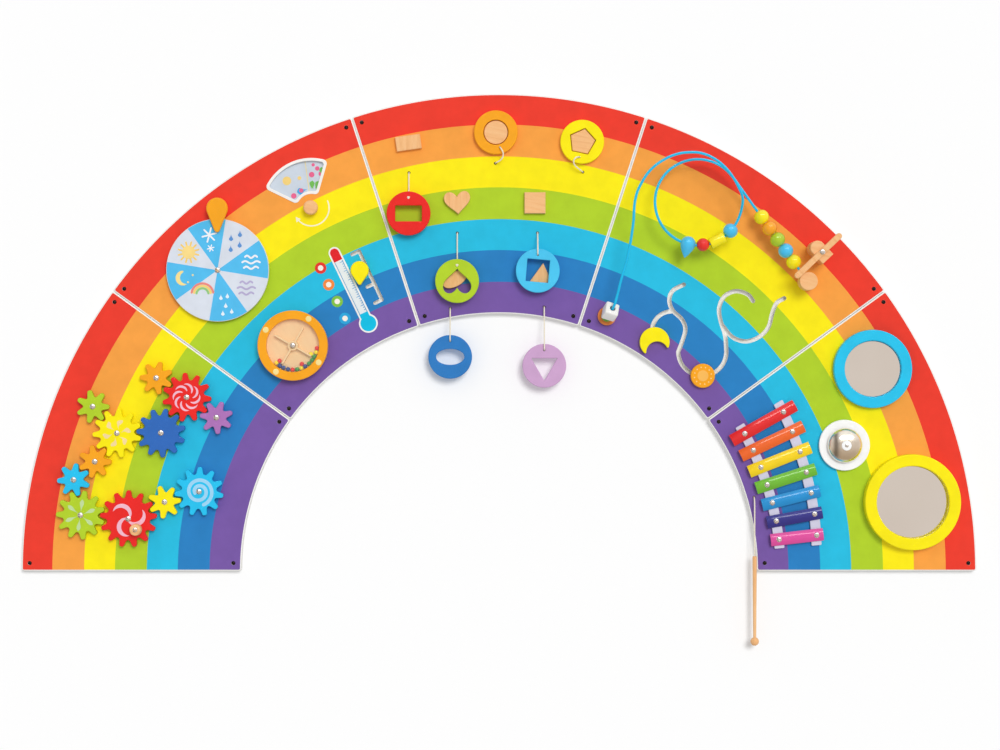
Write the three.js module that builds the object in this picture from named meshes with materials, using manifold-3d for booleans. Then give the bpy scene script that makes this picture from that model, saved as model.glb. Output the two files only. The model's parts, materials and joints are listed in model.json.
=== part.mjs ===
// Activity arch: five wall boards with gears, a weather game, shape rings, a bead maze and music pieces.
// Millimetres. The arch is laid out flat, with x to the right, y up and z out of the wall, and then
// stood up so that +Z is up and the boards face -Y. The origin is on the wall side of the middle board.
import * as THREE from 'three';
import { mergeVertices } from 'three/addons/utils/BufferGeometryUtils.js';
import Module from 'manifold-3d';

const wasm = await Module();
wasm.setup();

// Boards
const PANEL_COUNT = 5;
const ARCH_ANGLE = 180;
const INNER_RADIUS = 472;
const BOARD_WIDTH = 403;
const BOARD_THICK = 15;
const BOARD_GAP = 0.6;
const EDGE_BEVEL = 3;
const ARC_STEPS = 12;
const WALL_HOLE_RADIUS = 3.5;
const WALL_HOLE_INSET = 15;
const WALL_HOLE_SIDES = 8;

// Fits shared by all panels
const SEAT_GAP = 0.3;
const RUN_GAP = 0.5;
const ROUND_SIDES = 20;
const SMALL_SIDES = 8;
const WIDE_SIDES = 30;
const CAP_STEPS = 3;
const TEARDROP_HEAD_STEPS = 14;
const TEARDROP_TIP_STEPS = 4;
const WELD_DISTANCE = 1e-4;

// Axles: a spacer on the board, a pin, and a screw head that keeps the turning piece on
const AXLE_RADIUS = 5;
const SPACER_RADIUS = 9;
const SPACER_HEIGHT = 5;
const SCREW_HEAD_RADIUS = 7;
const SCREW_HEAD_HEIGHT = 2;

// Gears
const GEAR_MODULE = 7.3;
const GEAR_THICK = 10;
const CRANK_TEETH = 13;
const LARGE_TEETH = 11;
const SMALL_TEETH = 7;
const ADDENDUM = 0.67 * GEAR_MODULE;
const DEDENDUM = 1.18 * GEAR_MODULE;
const TOOTH_SHOULDER = 0.62 * GEAR_MODULE;
const TOOTH_BASE_HALF = 0.82 * GEAR_MODULE;
const TOOTH_MID_HALF = 0.66 * GEAR_MODULE;
const TOOTH_TIP_HALF = 0.33 * GEAR_MODULE;
const CRANK_OFFSET = 24.7;
const CRANK_DIRECTION = -48.6;
const CRANK_PIN_RADIUS = 3;
const CRANK_KNOB_RADIUS = 10.8;
const CRANK_KNOB_HEIGHT = 24;
const CRANK_KNOB_RIM = 0.7;
const CRANK_KNOB_FULL_FROM = 0.35;
const CRANK_KNOB_FULL_TO = 0.75;

// Weather wheel and its pointer
const WHEEL_RADIUS = 93.8;
const WHEEL_THICK = 9;
const POINTER_STANDOFF = 18.6;
const POINTER_HEAD_RADIUS = 19.5;
const POINTER_TIP_RADIUS = 5.2;
const POINTER_LENGTH = 38.5;
const POINTER_THICK = 8;
const POINTER_POST_RADIUS = 14;

// Season disc behind its fan window
const SEASON_RADIUS = 97;
const SEASON_THICK = 4.5;
const SEASON_SKIN = 6;
const SEASON_POCKET_GAP = 2;
const SEASON_SHAFT_RADIUS = 4;
const SEASON_KNOB_RADIUS = 13.2;
const SEASON_KNOB_HEIGHT = 22;
const WINDOW_INNER = 31;
const WINDOW_OUTER = 87;
const WINDOW_FROM = 74;
const WINDOW_TO = 154;
const WINDOW_OUTER_STEPS = 9;
const WINDOW_INNER_STEPS = 6;
const SEASON_KNOB_RIM = 0.75;
const SEASON_KNOB_FULL_FROM = 0.4;
const SEASON_KNOB_FULL_TO = 0.8;

// Sliders: a stem in a slot, with a wider foot in a channel behind it
const SLOT_DEPTH = 7;
const CHANNEL_DEPTH = 5;
const CHANNEL_LIP = 3;
const FOOT_THICK = 4;
const SLIDER_GAP = 0.6;
const THERMO_SLOT_WIDTH = 6.7;
const THERMO_TRAVEL = 98.4;
const THERMO_NOTCHES = 4;
const THERMO_NOTCH_LENGTH = 14;
const THERMO_TILT = -64.8;
const THERMO_BULB_RADIUS = 16.6;
const THERMO_BULB_TIP = 2.5;
const THERMO_BULB_LENGTH = 24;
const THERMO_BULB_THICK = 16;

// Spinner drum
const DRUM_RADIUS = 64;
const DRUM_INNER = 48.3;
const DRUM_DEPTH = 20;
const DRUM_FLOOR = 5;
const DRUM_HUB_RADIUS = 10;
const BLADE_COUNT = 4;
const BLADE_THICK = 3;
const BLADE_REACH = 37;
const BLADE_TURN = 60;

// Shape pegs, rings and strings
const PEG_HEIGHT = 10;
const RING_RADIUS = 40;
const RING_THICK = 12;
const RING_FIT = 1.3;
const RING_LEAN_GAP = 1.2;
const RING_SIDES = 24;
const RECT_LENGTH = 46;
const RECT_WIDTH = 26.5;
const CIRCLE_RADIUS = 21.5;
const PENTAGON_RADIUS = 24;
const HEART_WIDTH = 48;
const HEART_HEIGHT = 42;
const HEART_STEPS = 20;
const HEART_GROWTH = 2.6;
const HEART_FULLNESS = 2.4;
const SQUARE_SIDE = 38.5;
const OVAL_LONG = 24.5;
const OVAL_SHORT = 13.2;
const TRIANGLE_SIDE = 43;
const STRING_RADIUS = 1.25;
const STRING_SIDES = 8;
const STRING_FIT = 0.5;
const STRING_HOLE_OFFSET = 28.7;
const STRING_TAIL = 9;
const STRING_BEND = 6;
const STRING_EXIT_DROP = 0.6 * STRING_BEND;
const STRING_EXIT_RISE = 0.9 * STRING_BEND;
const STRING_EYE_RISE = 0.4 * STRING_BEND;

// Bead maze
const WIRE_RADIUS = 2.5;
const WIRE_SIDES = 8;
const WIRE_LOOP_RADIUS = 78.4;
const LOOP_START = 5;
const LOOP_STEP = 12;
const LOOP_FALL = [-12, 28];
const LOOP_SETTLE = [150, 250];
const LOOP_ENTRY_DROP = 8;
const WIRE_TOP_HEIGHT = 73;
const WIRE_LEVEL_POINTS = 7;
const WIRE_LEVEL_SINK = 1.2;
const WIRE_LOOP_HEIGHT = 46;
const WIRE_EXIT_HEIGHT = 34;
const WIRE_SINK = 9;
const WIRE_NECK = 3;
const FOOT_DISC_RADIUS = 17;
const FOOT_DISC_HEIGHT = 8;
const FOOT_BEAD_RADIUS = 10.5;
const FOOT_BEAD_HEIGHT = 10;
const POST_RADIUS = 16.5;
const POST_HEIGHT = 48;
const CUBE_SIDE = 25;
const CUBE_EDGE = 2.5;
const CUBE_BORE = 5.5;
const CUBE_TILT = 33;
const CUBE_LEAN = 33;
const CUBE_ROLL = -14;
const BEAD_FIT = 0.6;
const LOOP_BEAD_FIT = 1.3;
const BEAD_SIDES = 10;
const ROW_BEADS = 5;
const ROW_BEAD_RADIUS = 13.8;
const ROW_BEAD_LENGTH = 24.6;
const ROW_BEAD_BULGE = 13.6;
const ROW_START = 43.6;
const LOOP_BALL_RADIUS = 13.4;
const LOOP_SMALL_BALL_RADIUS = 12.1;
const LOOP_CYLINDER_RADIUS = 10.5;
const LOOP_CYLINDER_LENGTH = 28.5;
const DROP_RADIUS = 13.8;
const DROP_LENGTH = 26.5;

// Propeller
const PROP_LONG_ARM = 67;
const PROP_SHORT_ARM = 47;
const PROP_WIDTH = 11;
const PROP_THICK = 8;
const PROP_ANGLE = 43.5;
const PROP_LIFT = 4;
const PROP_PIN_RADIUS = 3;
const PROP_SCREW_RADIUS = 5;
const BLOCK_WIDTH = 26;
const BLOCK_ROUND_ARM = 11;
const BLOCK_SQUARE_ARM = 17;
const BLOCK_STEPS = 8;

// Moon and sun sliders in their grooves
const GROOVE_WIDTH = 7.8;
const GROOVE_STEPS = 10;
const SUN_ARC_RADIUS = 44;
const SUN_RADIUS = 22.2;
const MOON_ARC_RADIUS = 36;
const MOON_ARC_SHIFT = [-56, 38];
const MOON_ARC_FROM = 192;
const MOON_ARC_TO = 84;
const MOON_RUNOUT = 3;
const MOON_RADIUS = 27.3;
const MOON_CUT_RADIUS = 20;
const MOON_CUT_SHIFT = 19.4;
const MOON_CUT_TURN = -76;
const SLIDER_PLATE_THICK = 11;

// Xylophone
const BAR_COUNT = 7;
const BAR_WIDTH = 22.5;
const BAR_HEIGHT = 7;
const BAR_SIDE_HEIGHT = 0.4 * BAR_HEIGHT;
const BAR_SHOULDER_HEIGHT = 0.87 * BAR_HEIGHT;
const BAR_FIRST_ANGLE = 29.35;
const BAR_ANGLE_STEP = 3.79;
const BAR_FIRST_INNER = 16;
const BAR_INNER_STEP = 1.95;
const BAR_FIRST_LENGTH = 133;
const BAR_LENGTH_STEP = 6;
const RAIL_WIDTH = 15.5;
const RAIL_HEIGHT = 6;
const RAIL_INNER = 43;
const RAIL_OUTER_FIRST = 124;
const RAIL_OUTER_STEP = 2;
const RAIL_OVERHANG = 1.9;

// Bell
const BELL_PLATE_RADIUS = 46.5;
const BELL_PLATE_THICK = 9;
const BELL_PLATE_EDGE = 1.5;
const BELL_RADIUS = 32;
const BELL_HEIGHT = 20;
const BELL_WALL = 2;
const BELL_LIFT = 4;
const BELL_POST_RADIUS = 5;
const BELL_NUT_RADIUS = 9;

// Mirrors
const SMALL_MIRROR_RADIUS = 71.5;
const SMALL_MIRROR_OPENING = 51.5;
const SMALL_MIRROR_HEIGHT = 15;
const LARGE_MIRROR_RADIUS = 87.5;
const LARGE_MIRROR_OPENING = 66;
const LARGE_MIRROR_HEIGHT = 22;
const MIRROR_FLOOR = 5;
const MIRROR_ROUND = 5;
const MIRROR_EASE = 0.3 * MIRROR_ROUND;

// Mallet
const MALLET_DROP = 107;
const MALLET_LIFT = 10;
const MALLET_STRING_EASE = 15;
const MALLET_STICK_LENGTH = 156;
const MALLET_STICK_TOP = 4;
const MALLET_STICK_END = 2.8;
const MALLET_BALL_RADIUS = 7.8;

// Paint and material finishes
const RED = 0xee4232;
const ORANGE = 0xf99e50;
const YELLOW = 0xffec2d;
const LIME = 0xafd230;
const SKY = 0x14bee8;
const BLUE = 0x3278bd;
const PURPLE = 0x7d5ca8;
const PINK = 0xe8618c;
const NAVY = 0x27408b;
const WHITE = 0xf3f1ec;
const LAVENDER = 0xd9d4e4;
const CREAM = 0xe9dfc6;
const WOOD = 0xdcae74;
const STEEL = 0xc9cbd0;
const PAINT_ROUGHNESS = 0.45;
const COTTON_ROUGHNESS = 0.9;
const ENAMEL_ROUGHNESS = 0.35;
const METAL_ROUGHNESS = 0.2;

const OUTER_RADIUS = INNER_RADIUS + BOARD_WIDTH;
const STRING_HOLE_RADIUS = STRING_RADIUS + STRING_FIT;
const MIDDLE_RADIUS = INNER_RADIUS + BOARD_WIDTH / 2;
const PANEL_ANGLE = ARCH_ANGLE / PANEL_COUNT;
const FRONT = BOARD_THICK;
const CHANNEL_FLOOR = FRONT - SLOT_DEPTH - CHANNEL_DEPTH;
const CHANNEL_ROOF = FRONT - SLOT_DEPTH;
const { degToRad } = THREE.MathUtils;

const arch = new THREE.Group();
arch.rotation.x = Math.PI / 2;
arch.position.z = -MIDDLE_RADIUS;

// A closed geometry as a solid for joining and cutting, turned outside out where it was drawn inside out
function solidOf(geometry) {
  const bare = geometry.index ? geometry.toNonIndexed() : geometry.clone();
  bare.deleteAttribute('normal');
  bare.deleteAttribute('uv');
  const merged = mergeVertices(bare, WELD_DISTANCE);
  const triangles = [];
  const index = merged.index.array;
  const position = merged.attributes.position;
  const [a, b, c] = [new THREE.Vector3(), new THREE.Vector3(), new THREE.Vector3()];
  let volume = 0;
  for (let i = 0; i < index.length; i += 3) {
    const [p, q, r] = index.slice(i, i + 3);
    if (p === q || q === r || r === p) continue;
    triangles.push([p, q, r]);
    a.fromBufferAttribute(position, p);
    b.fromBufferAttribute(position, q);
    c.fromBufferAttribute(position, r);
    volume += a.dot(b.cross(c));
  }
  if (volume < 0) triangles.forEach((triangle) => triangle.reverse());
  const mesh = new wasm.Mesh({
    numProp: 3,
    vertProperties: Float32Array.from(position.array),
    triVerts: Uint32Array.from(triangles.flat()),
  });
  return new wasm.Manifold(mesh);
}

function geometryOf(solid) {
  const { vertProperties, triVerts } = solid.getMesh();
  const geometry = new THREE.BufferGeometry();
  geometry.setAttribute('position', new THREE.BufferAttribute(Float32Array.from(vertProperties), 3));
  geometry.setIndex(new THREE.BufferAttribute(Uint32Array.from(triVerts), 1));
  return geometry;
}

// A named piece of one colour, placed on the arch
function addPiece(
  name, solid, colour, place = [0, 0, 0], turn = 0, roughness = PAINT_ROUGHNESS, metalness = 0,
) {
  const geometry = geometryOf(solid);
  geometry.computeVertexNormals();
  const material = new THREE.MeshStandardMaterial({ color: colour, roughness, metalness });
  const mesh = new THREE.Mesh(geometry, material);
  mesh.name = name;
  mesh.position.set(...place);
  mesh.rotation.z = turn;
  arch.add(mesh);
  return mesh;
}

// A place on the arch: the angle from the right-hand end, and the share of the width from the inner edge
function spot(angle, across) {
  const radius = INNER_RADIUS + across * BOARD_WIDTH;
  return polar(radius, angle);
}

function polar(radius, angle, centre = [0, 0]) {
  const turn = degToRad(angle);
  return [centre[0] + radius * Math.cos(turn), centre[1] + radius * Math.sin(turn)];
}

function circle(radius, sides, centre = [0, 0], turn = 0) {
  return arc(radius, turn, turn + 360 - 360 / sides, sides - 1, centre);
}

function arc(radius, from, to, steps, centre = [0, 0]) {
  const points = [];
  for (let i = 0; i <= steps; i += 1) {
    points.push(new THREE.Vector2(...polar(radius, from + ((to - from) * i) / steps, centre)));
  }
  return points;
}

// The radius of a many-sided hole that clears a round of the given radius on every side
function clearing(radius, sides) {
  return radius / Math.cos(Math.PI / sides);
}

function plate(points, bottom, top, holes = []) {
  const shape = new THREE.Shape(points);
  shape.holes = holes.map((hole) => new THREE.Path(hole));
  const geometry = new THREE.ExtrudeGeometry(shape, { depth: top - bottom, bevelEnabled: false });
  return solidOf(geometry.translate(0, 0, bottom));
}

// A plate with its front and back edges cut back at 45 degrees
function bevelledPlate(points, bottom, top, bevel, holes = []) {
  const shape = new THREE.Shape(points);
  shape.holes = holes.map((hole) => new THREE.Path(hole));
  const geometry = new THREE.ExtrudeGeometry(shape, {
    depth: top - bottom - 2 * bevel,
    bevelSize: bevel,
    bevelThickness: bevel,
    bevelOffset: -bevel,
    bevelSegments: 1,
  });
  return solidOf(geometry.translate(0, 0, bottom + bevel));
}

// A piece turned about the z axis from pairs of radius and height
function turned(profile, sides) {
  const points = profile.map(([radius, height]) => new THREE.Vector2(radius, height));
  return solidOf(new THREE.LatheGeometry(points, sides).rotateX(Math.PI / 2));
}

function pin(radius, bottom, top, sides, centre = [0, 0]) {
  return plate(circle(radius, sides, centre), bottom, top);
}

function moved(solid, x, y, z = 0) {
  return solid.translate([x, y, z]);
}

// Spacer, pin and screw head in one, standing on the board below a turning piece of the given thickness
function axle(thickness, pinRadius = AXLE_RADIUS) {
  const seat = FRONT + SPACER_HEIGHT - RUN_GAP;
  const head = FRONT + SPACER_HEIGHT + thickness + RUN_GAP;
  const sunk = FRONT - 1;
  return turned([
    [0, sunk],
    [SPACER_RADIUS, sunk],
    [SPACER_RADIUS, seat],
    [pinRadius, seat],
    [pinRadius, head],
    [SCREW_HEAD_RADIUS, head],
    [SCREW_HEAD_RADIUS, head + SCREW_HEAD_HEIGHT],
    [0, head + SCREW_HEAD_HEIGHT],
  ], SMALL_SIDES);
}

function boreOf(radius, sides = SMALL_SIDES) {
  return circle(clearing(radius + RUN_GAP, sides), sides);
}

// A rounded strip between two points
function strip(from, to, halfWidth, capSteps = CAP_STEPS) {
  const along = THREE.MathUtils.radToDeg(Math.atan2(to[1] - from[1], to[0] - from[0]));
  return [
    ...arc(halfWidth, along - 90, along + 90, capSteps, to),
    ...arc(halfWidth, along + 90, along + 270, capSteps, from),
  ];
}

// A strip of even width along a flat curve, with round ends
function ribbon(curve, halfWidth, steps) {
  const left = [];
  const right = [];
  for (let i = 1; i < steps; i += 1) {
    const point = curve.getPointAt(i / steps);
    const along = curve.getTangentAt(i / steps);
    const across = new THREE.Vector2(-along.y, along.x).multiplyScalar(halfWidth);
    left.unshift(point.clone().add(across));
    right.push(point.clone().sub(across));
  }
  const cap = (share, turn) => {
    const along = THREE.MathUtils.radToDeg(curve.getTangentAt(share).angle()) + turn;
    return arc(halfWidth, along - 90, along + 90, CAP_STEPS, curve.getPointAt(share).toArray());
  };
  return [...right, ...cap(1, 0), ...left, ...cap(0, 180)];
}

// A round head that narrows to a small round tip below it
function teardrop(headRadius, tipRadius, length) {
  const lean = THREE.MathUtils.radToDeg(Math.asin((headRadius - tipRadius) / length));
  return [
    ...arc(headRadius, -lean, 180 + lean, TEARDROP_HEAD_STEPS),
    ...arc(tipRadius, 180 + lean, 360 - lean, TEARDROP_TIP_STEPS, [0, -length]),
  ];
}

// A smooth curve through points, stepped point by point, so that short bends keep their steps
class RouteCurve extends THREE.CatmullRomCurve3 {
  constructor(points) {
    super(points.map((point) => new THREE.Vector3(...point)), false, 'centripetal');
  }

  getPointAt(share, target) {
    return this.getPoint(share, target);
  }

  getTangentAt(share, target) {
    return this.getTangent(share, target);
  }
}

// A tube of round section through the points of a route
function tube(points, radius, sides) {
  const extrudePath = new RouteCurve(points);
  const section = new THREE.Shape(circle(radius, sides));
  const steps = points.length - 1;
  return solidOf(new THREE.ExtrudeGeometry(section, { steps, extrudePath, bevelEnabled: false }));
}

// Slot and channel for a slider: the slot opens to the front and the wider channel lies behind it
function grooveCut(outline, slotWidth) {
  const slot = plate(outline(slotWidth / 2), CHANNEL_FLOOR, FRONT + 1);
  const channel = plate(outline(slotWidth / 2 + CHANNEL_LIP), CHANNEL_FLOOR, CHANNEL_ROOF);
  return slot.add(channel);
}

// Stem and foot of a slider, standing at the origin
function sliderStem(slotWidth) {
  const stem = pin(slotWidth / 2 - SLIDER_GAP, CHANNEL_FLOOR + SLIDER_GAP, FRONT + 1, SMALL_SIDES);
  const footRadius = slotWidth / 2 + CHANNEL_LIP - SLIDER_GAP;
  const footBottom = CHANNEL_FLOOR + SLIDER_GAP;
  const foot = pin(footRadius, footBottom, footBottom + FOOT_THICK, SMALL_SIDES);
  return stem.add(foot);
}

// One board of the arch with its bevelled edges and its four wall holes
function board(index) {
  const from = index * PANEL_ANGLE;
  const to = from + PANEL_ANGLE;
  const trim = (radius, inset) => THREE.MathUtils.radToDeg(Math.asin(inset / radius));
  const outerTrim = trim(OUTER_RADIUS, BOARD_GAP / 2);
  const innerTrim = trim(INNER_RADIUS, BOARD_GAP / 2);
  const outer = arc(OUTER_RADIUS, from + outerTrim, to - outerTrim, ARC_STEPS);
  const inner = arc(INNER_RADIUS, to - innerTrim, from + innerTrim, ARC_STEPS);
  let solid = bevelledPlate([...outer, ...inner], 0, FRONT, EDGE_BEVEL);
  for (const radius of [INNER_RADIUS + WALL_HOLE_INSET, OUTER_RADIUS - WALL_HOLE_INSET]) {
    const inset = trim(radius, WALL_HOLE_INSET);
    for (const angle of [from + inset, to - inset]) {
      solid = solid.subtract(pin(WALL_HOLE_RADIUS, -1, FRONT + 1, WALL_HOLE_SIDES, polar(radius, angle)));
    }
  }
  return solid;
}

// Gear panel

const GEAR_BOTTOM = FRONT + SPACER_HEIGHT;

function gearOutline(teeth) {
  const pitch = (GEAR_MODULE * teeth) / 2;
  const root = pitch - DEDENDUM;
  const tip = pitch + ADDENDUM;
  const tooth = [
    [root, -TOOTH_BASE_HALF],
    [tip - TOOTH_SHOULDER, -TOOTH_MID_HALF],
    [tip, -TOOTH_TIP_HALF],
    [tip, TOOTH_TIP_HALF],
    [tip - TOOTH_SHOULDER, TOOTH_MID_HALF],
    [root, TOOTH_BASE_HALF],
  ];
  const points = [];
  for (let k = 0; k < teeth; k += 1) {
    for (const [radius, half] of tooth) {
      const across = new THREE.Vector2(Math.sqrt(radius * radius - half * half), half);
      points.push(across.rotateAround(new THREE.Vector2(), (k * 2 * Math.PI) / teeth));
    }
  }
  return points;
}

// Each gear meshes with the one it names, in the given direction from it
const GEARS = [
  { name: 'gear_crank', teeth: CRANK_TEETH, colour: RED },
  { name: 'gear_lime_large', teeth: LARGE_TEETH, colour: LIME, from: 'gear_crank', towards: 175.6 },
  { name: 'gear_yellow_small', teeth: SMALL_TEETH, colour: YELLOW, from: 'gear_crank', towards: 24.9 },
  { name: 'gear_sky_large', teeth: LARGE_TEETH, colour: SKY, from: 'gear_yellow_small', towards: 16.9 },
  { name: 'gear_sky_small', teeth: SMALL_TEETH, colour: SKY, from: 'gear_lime_large', towards: 101 },
  { name: 'gear_orange_low', teeth: SMALL_TEETH, colour: ORANGE, from: 'gear_sky_small', towards: 40.6 },
  { name: 'gear_yellow_large', teeth: LARGE_TEETH, colour: YELLOW, from: 'gear_orange_low', towards: 52.1 },
  { name: 'gear_lime_small', teeth: SMALL_TEETH, colour: LIME, from: 'gear_yellow_large', towards: 132.3 },
  { name: 'gear_blue_large', teeth: LARGE_TEETH, colour: BLUE, from: 'gear_yellow_large', towards: 0.4 },
  { name: 'gear_red_large', teeth: LARGE_TEETH, colour: RED, from: 'gear_blue_large', towards: 54.2 },
  { name: 'gear_orange_high', teeth: SMALL_TEETH, colour: ORANGE, from: 'gear_red_large', towards: 147.7 },
  { name: 'gear_purple_small', teeth: SMALL_TEETH, colour: PURPLE, from: 'gear_red_large', towards: -34.4 },
];
const CRANK_SPOT = spot(171.85, 0.5255);

let gearPanel = board(4);
const placed = {};
for (const gear of GEARS) {
  const pitch = (GEAR_MODULE * gear.teeth) / 2;
  let centre = CRANK_SPOT;
  let phase = degToRad(CRANK_DIRECTION);
  if (gear.from) {
    const driver = placed[gear.from];
    centre = polar(driver.pitch + pitch, gear.towards, driver.centre);
    const towards = degToRad(gear.towards);
    const toothOfDriver = ((towards - driver.phase) * driver.teeth) / (2 * Math.PI);
    phase = towards + Math.PI - ((2 * Math.PI) / gear.teeth) * (0.5 - toothOfDriver);
  }
  placed[gear.name] = { centre, phase, pitch, teeth: gear.teeth };
  let solid = plate(gearOutline(gear.teeth), 0, GEAR_THICK, [boreOf(AXLE_RADIUS)]);
  if (!gear.from) {
    const knobPin = pin(CRANK_PIN_RADIUS, GEAR_THICK - 1, GEAR_THICK + CRANK_KNOB_HEIGHT / 2, SMALL_SIDES);
    solid = solid.add(moved(knobPin, CRANK_OFFSET, 0));
  }
  addPiece(gear.name, solid, gear.colour, [...centre, GEAR_BOTTOM], phase);
  gearPanel = gearPanel.add(moved(axle(GEAR_THICK), ...centre));
}
addPiece('panel_gears', gearPanel, LIME);

// The crank knob is a turned wooden grip with a blind bore over the gear's pin
const knobRim = CRANK_KNOB_RADIUS * CRANK_KNOB_RIM;
const crankKnob = turned([
  [0, 0],
  [knobRim, 0],
  [CRANK_KNOB_RADIUS, CRANK_KNOB_HEIGHT * CRANK_KNOB_FULL_FROM],
  [CRANK_KNOB_RADIUS, CRANK_KNOB_HEIGHT * CRANK_KNOB_FULL_TO],
  [knobRim, CRANK_KNOB_HEIGHT],
  [0, CRANK_KNOB_HEIGHT],
], ROUND_SIDES / 2);
const knobBore = plate(boreOf(CRANK_PIN_RADIUS), -1, CRANK_KNOB_HEIGHT / 2 + 2 * RUN_GAP);
const crankKnobPlace = polar(CRANK_OFFSET, CRANK_DIRECTION, CRANK_SPOT);
const crankKnobSeat = GEAR_BOTTOM + GEAR_THICK + RUN_GAP;
addPiece('crank_knob', crankKnob.subtract(knobBore), WOOD, [...crankKnobPlace, crankKnobSeat]);

// Weather panel

const WHEEL_SPOT = spot(133.01, 0.6985);
const SEASON_SPOT = spot(117.33, 0.687);
const DRUM_SPOT = spot(132.29, 0.215);
const THERMO_SPOT = spot(113.62, 0.417);

let weatherPanel = board(3);

// The weather wheel turns below a fixed pointer that stands on a post beside it
const wheel = plate(circle(WHEEL_RADIUS, 2 * ROUND_SIDES), 0, WHEEL_THICK, [boreOf(AXLE_RADIUS)]);
addPiece('weather_wheel', wheel, SKY, [...WHEEL_SPOT, FRONT + SPACER_HEIGHT]);
weatherPanel = weatherPanel.add(moved(axle(WHEEL_THICK), ...WHEEL_SPOT));

const pointerBottom = FRONT + SPACER_HEIGHT + WHEEL_THICK + 4 * RUN_GAP;
const pointerPlate = plate(
  teardrop(POINTER_HEAD_RADIUS, POINTER_TIP_RADIUS, POINTER_LENGTH),
  pointerBottom,
  pointerBottom + POINTER_THICK,
);
const pointerPost = pin(POINTER_POST_RADIUS, FRONT + SEAT_GAP, pointerBottom + 1, ROUND_SIDES / 2);
const pointerPlace = [WHEEL_SPOT[0], WHEEL_SPOT[1] + WHEEL_RADIUS + POINTER_STANDOFF, 0];
addPiece('weather_pointer', pointerPlate.add(pointerPost), ORANGE, pointerPlace);

// The season disc turns in a pocket behind the board and shows through the fan window
const pocketRoof = FRONT - SEASON_SKIN;
const pocket = pin(SEASON_RADIUS + SEASON_POCKET_GAP, -1, pocketRoof, 2 * ROUND_SIDES);
const windowCut = plate([
  ...arc(WINDOW_OUTER, WINDOW_FROM, WINDOW_TO, WINDOW_OUTER_STEPS),
  ...arc(WINDOW_INNER, WINDOW_TO, WINDOW_FROM, WINDOW_INNER_STEPS),
], pocketRoof - 1, FRONT + 1);
const shaftHole = plate(boreOf(SEASON_SHAFT_RADIUS), pocketRoof - 1, FRONT + 1);
weatherPanel = weatherPanel.subtract(moved(pocket.add(windowCut).add(shaftHole), ...SEASON_SPOT));

const discTop = pocketRoof - RUN_GAP;
const seasonDisc = plate(
  circle(SEASON_RADIUS, 2 * ROUND_SIDES),
  discTop - SEASON_THICK,
  discTop,
  [circle(clearing(SEASON_SHAFT_RADIUS + SEAT_GAP, SMALL_SIDES), SMALL_SIDES)],
);
addPiece('season_disc', seasonDisc, SKY, [...SEASON_SPOT, 0]);
const shaftEnd = discTop - SEASON_THICK;
const knobSeat = FRONT + RUN_GAP;
const seasonKnob = turned([
  [0, shaftEnd],
  [SEASON_SHAFT_RADIUS, shaftEnd],
  [SEASON_SHAFT_RADIUS, knobSeat],
  [SEASON_KNOB_RADIUS * SEASON_KNOB_RIM, knobSeat],
  [SEASON_KNOB_RADIUS, knobSeat + SEASON_KNOB_HEIGHT * SEASON_KNOB_FULL_FROM],
  [SEASON_KNOB_RADIUS, knobSeat + SEASON_KNOB_HEIGHT * SEASON_KNOB_FULL_TO],
  [SEASON_KNOB_RADIUS * SEASON_KNOB_RIM, knobSeat + SEASON_KNOB_HEIGHT],
  [0, knobSeat + SEASON_KNOB_HEIGHT],
], SMALL_SIDES);
addPiece('season_knob', seasonKnob, WOOD, [...SEASON_SPOT, 0]);

// The thermometer slot has a straight run and side notches, one for each mark
const thermoStep = THERMO_TRAVEL / (THERMO_NOTCHES - 1);
const thermoEnd = polar(THERMO_TRAVEL, THERMO_TILT, THERMO_SPOT);
const thermoRun = grooveCut((half) => strip(THERMO_SPOT, thermoEnd, half), THERMO_SLOT_WIDTH);
weatherPanel = weatherPanel.subtract(thermoRun);
for (let k = 0; k < THERMO_NOTCHES; k += 1) {
  const mouth = polar(k * thermoStep, THERMO_TILT, THERMO_SPOT);
  const end = polar(THERMO_NOTCH_LENGTH, THERMO_TILT - 90, mouth);
  weatherPanel = weatherPanel.subtract(grooveCut((half) => strip(mouth, end, half), THERMO_SLOT_WIDTH));
}
// The slider's bulb stands over the second notch and its stem sits in the straight run beside it
const bulbShift = polar(THERMO_NOTCH_LENGTH - SLIDER_GAP, THERMO_TILT - 90);
const bulbPlate = plate(
  teardrop(THERMO_BULB_RADIUS, THERMO_BULB_TIP, THERMO_BULB_LENGTH),
  FRONT + SLIDER_GAP,
  FRONT + SLIDER_GAP + THERMO_BULB_THICK,
);
const thermoSlider = sliderStem(THERMO_SLOT_WIDTH).add(moved(bulbPlate, ...bulbShift));
addPiece('thermometer_slider', thermoSlider, YELLOW, [...polar(thermoStep, THERMO_TILT, THERMO_SPOT), 0]);

// The spinner is a drum with blades that stir loose balls under its clear cover
const drumBore = clearing(AXLE_RADIUS + RUN_GAP, SMALL_SIDES);
let drum = turned([
  [0, 0],
  [DRUM_RADIUS, 0],
  [DRUM_RADIUS, DRUM_DEPTH],
  [DRUM_INNER, DRUM_DEPTH],
  [DRUM_INNER, DRUM_FLOOR],
  [DRUM_HUB_RADIUS, DRUM_FLOOR],
  [DRUM_HUB_RADIUS, DRUM_DEPTH],
  [0, DRUM_DEPTH],
], WIDE_SIDES);
for (let k = 0; k < BLADE_COUNT; k += 1) {
  const angle = BLADE_TURN + (k * 360) / BLADE_COUNT;
  const root = polar(DRUM_HUB_RADIUS - BLADE_THICK, angle);
  const tip = polar(BLADE_REACH, angle);
  drum = drum.add(plate(strip(root, tip, BLADE_THICK / 2, 2), DRUM_FLOOR - 1, DRUM_DEPTH - BLADE_THICK));
}
drum = drum.subtract(pin(drumBore, -1, DRUM_DEPTH + 1, SMALL_SIDES));
addPiece('spinner_drum', drum, ORANGE, [...DRUM_SPOT, FRONT + SPACER_HEIGHT]);
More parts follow.
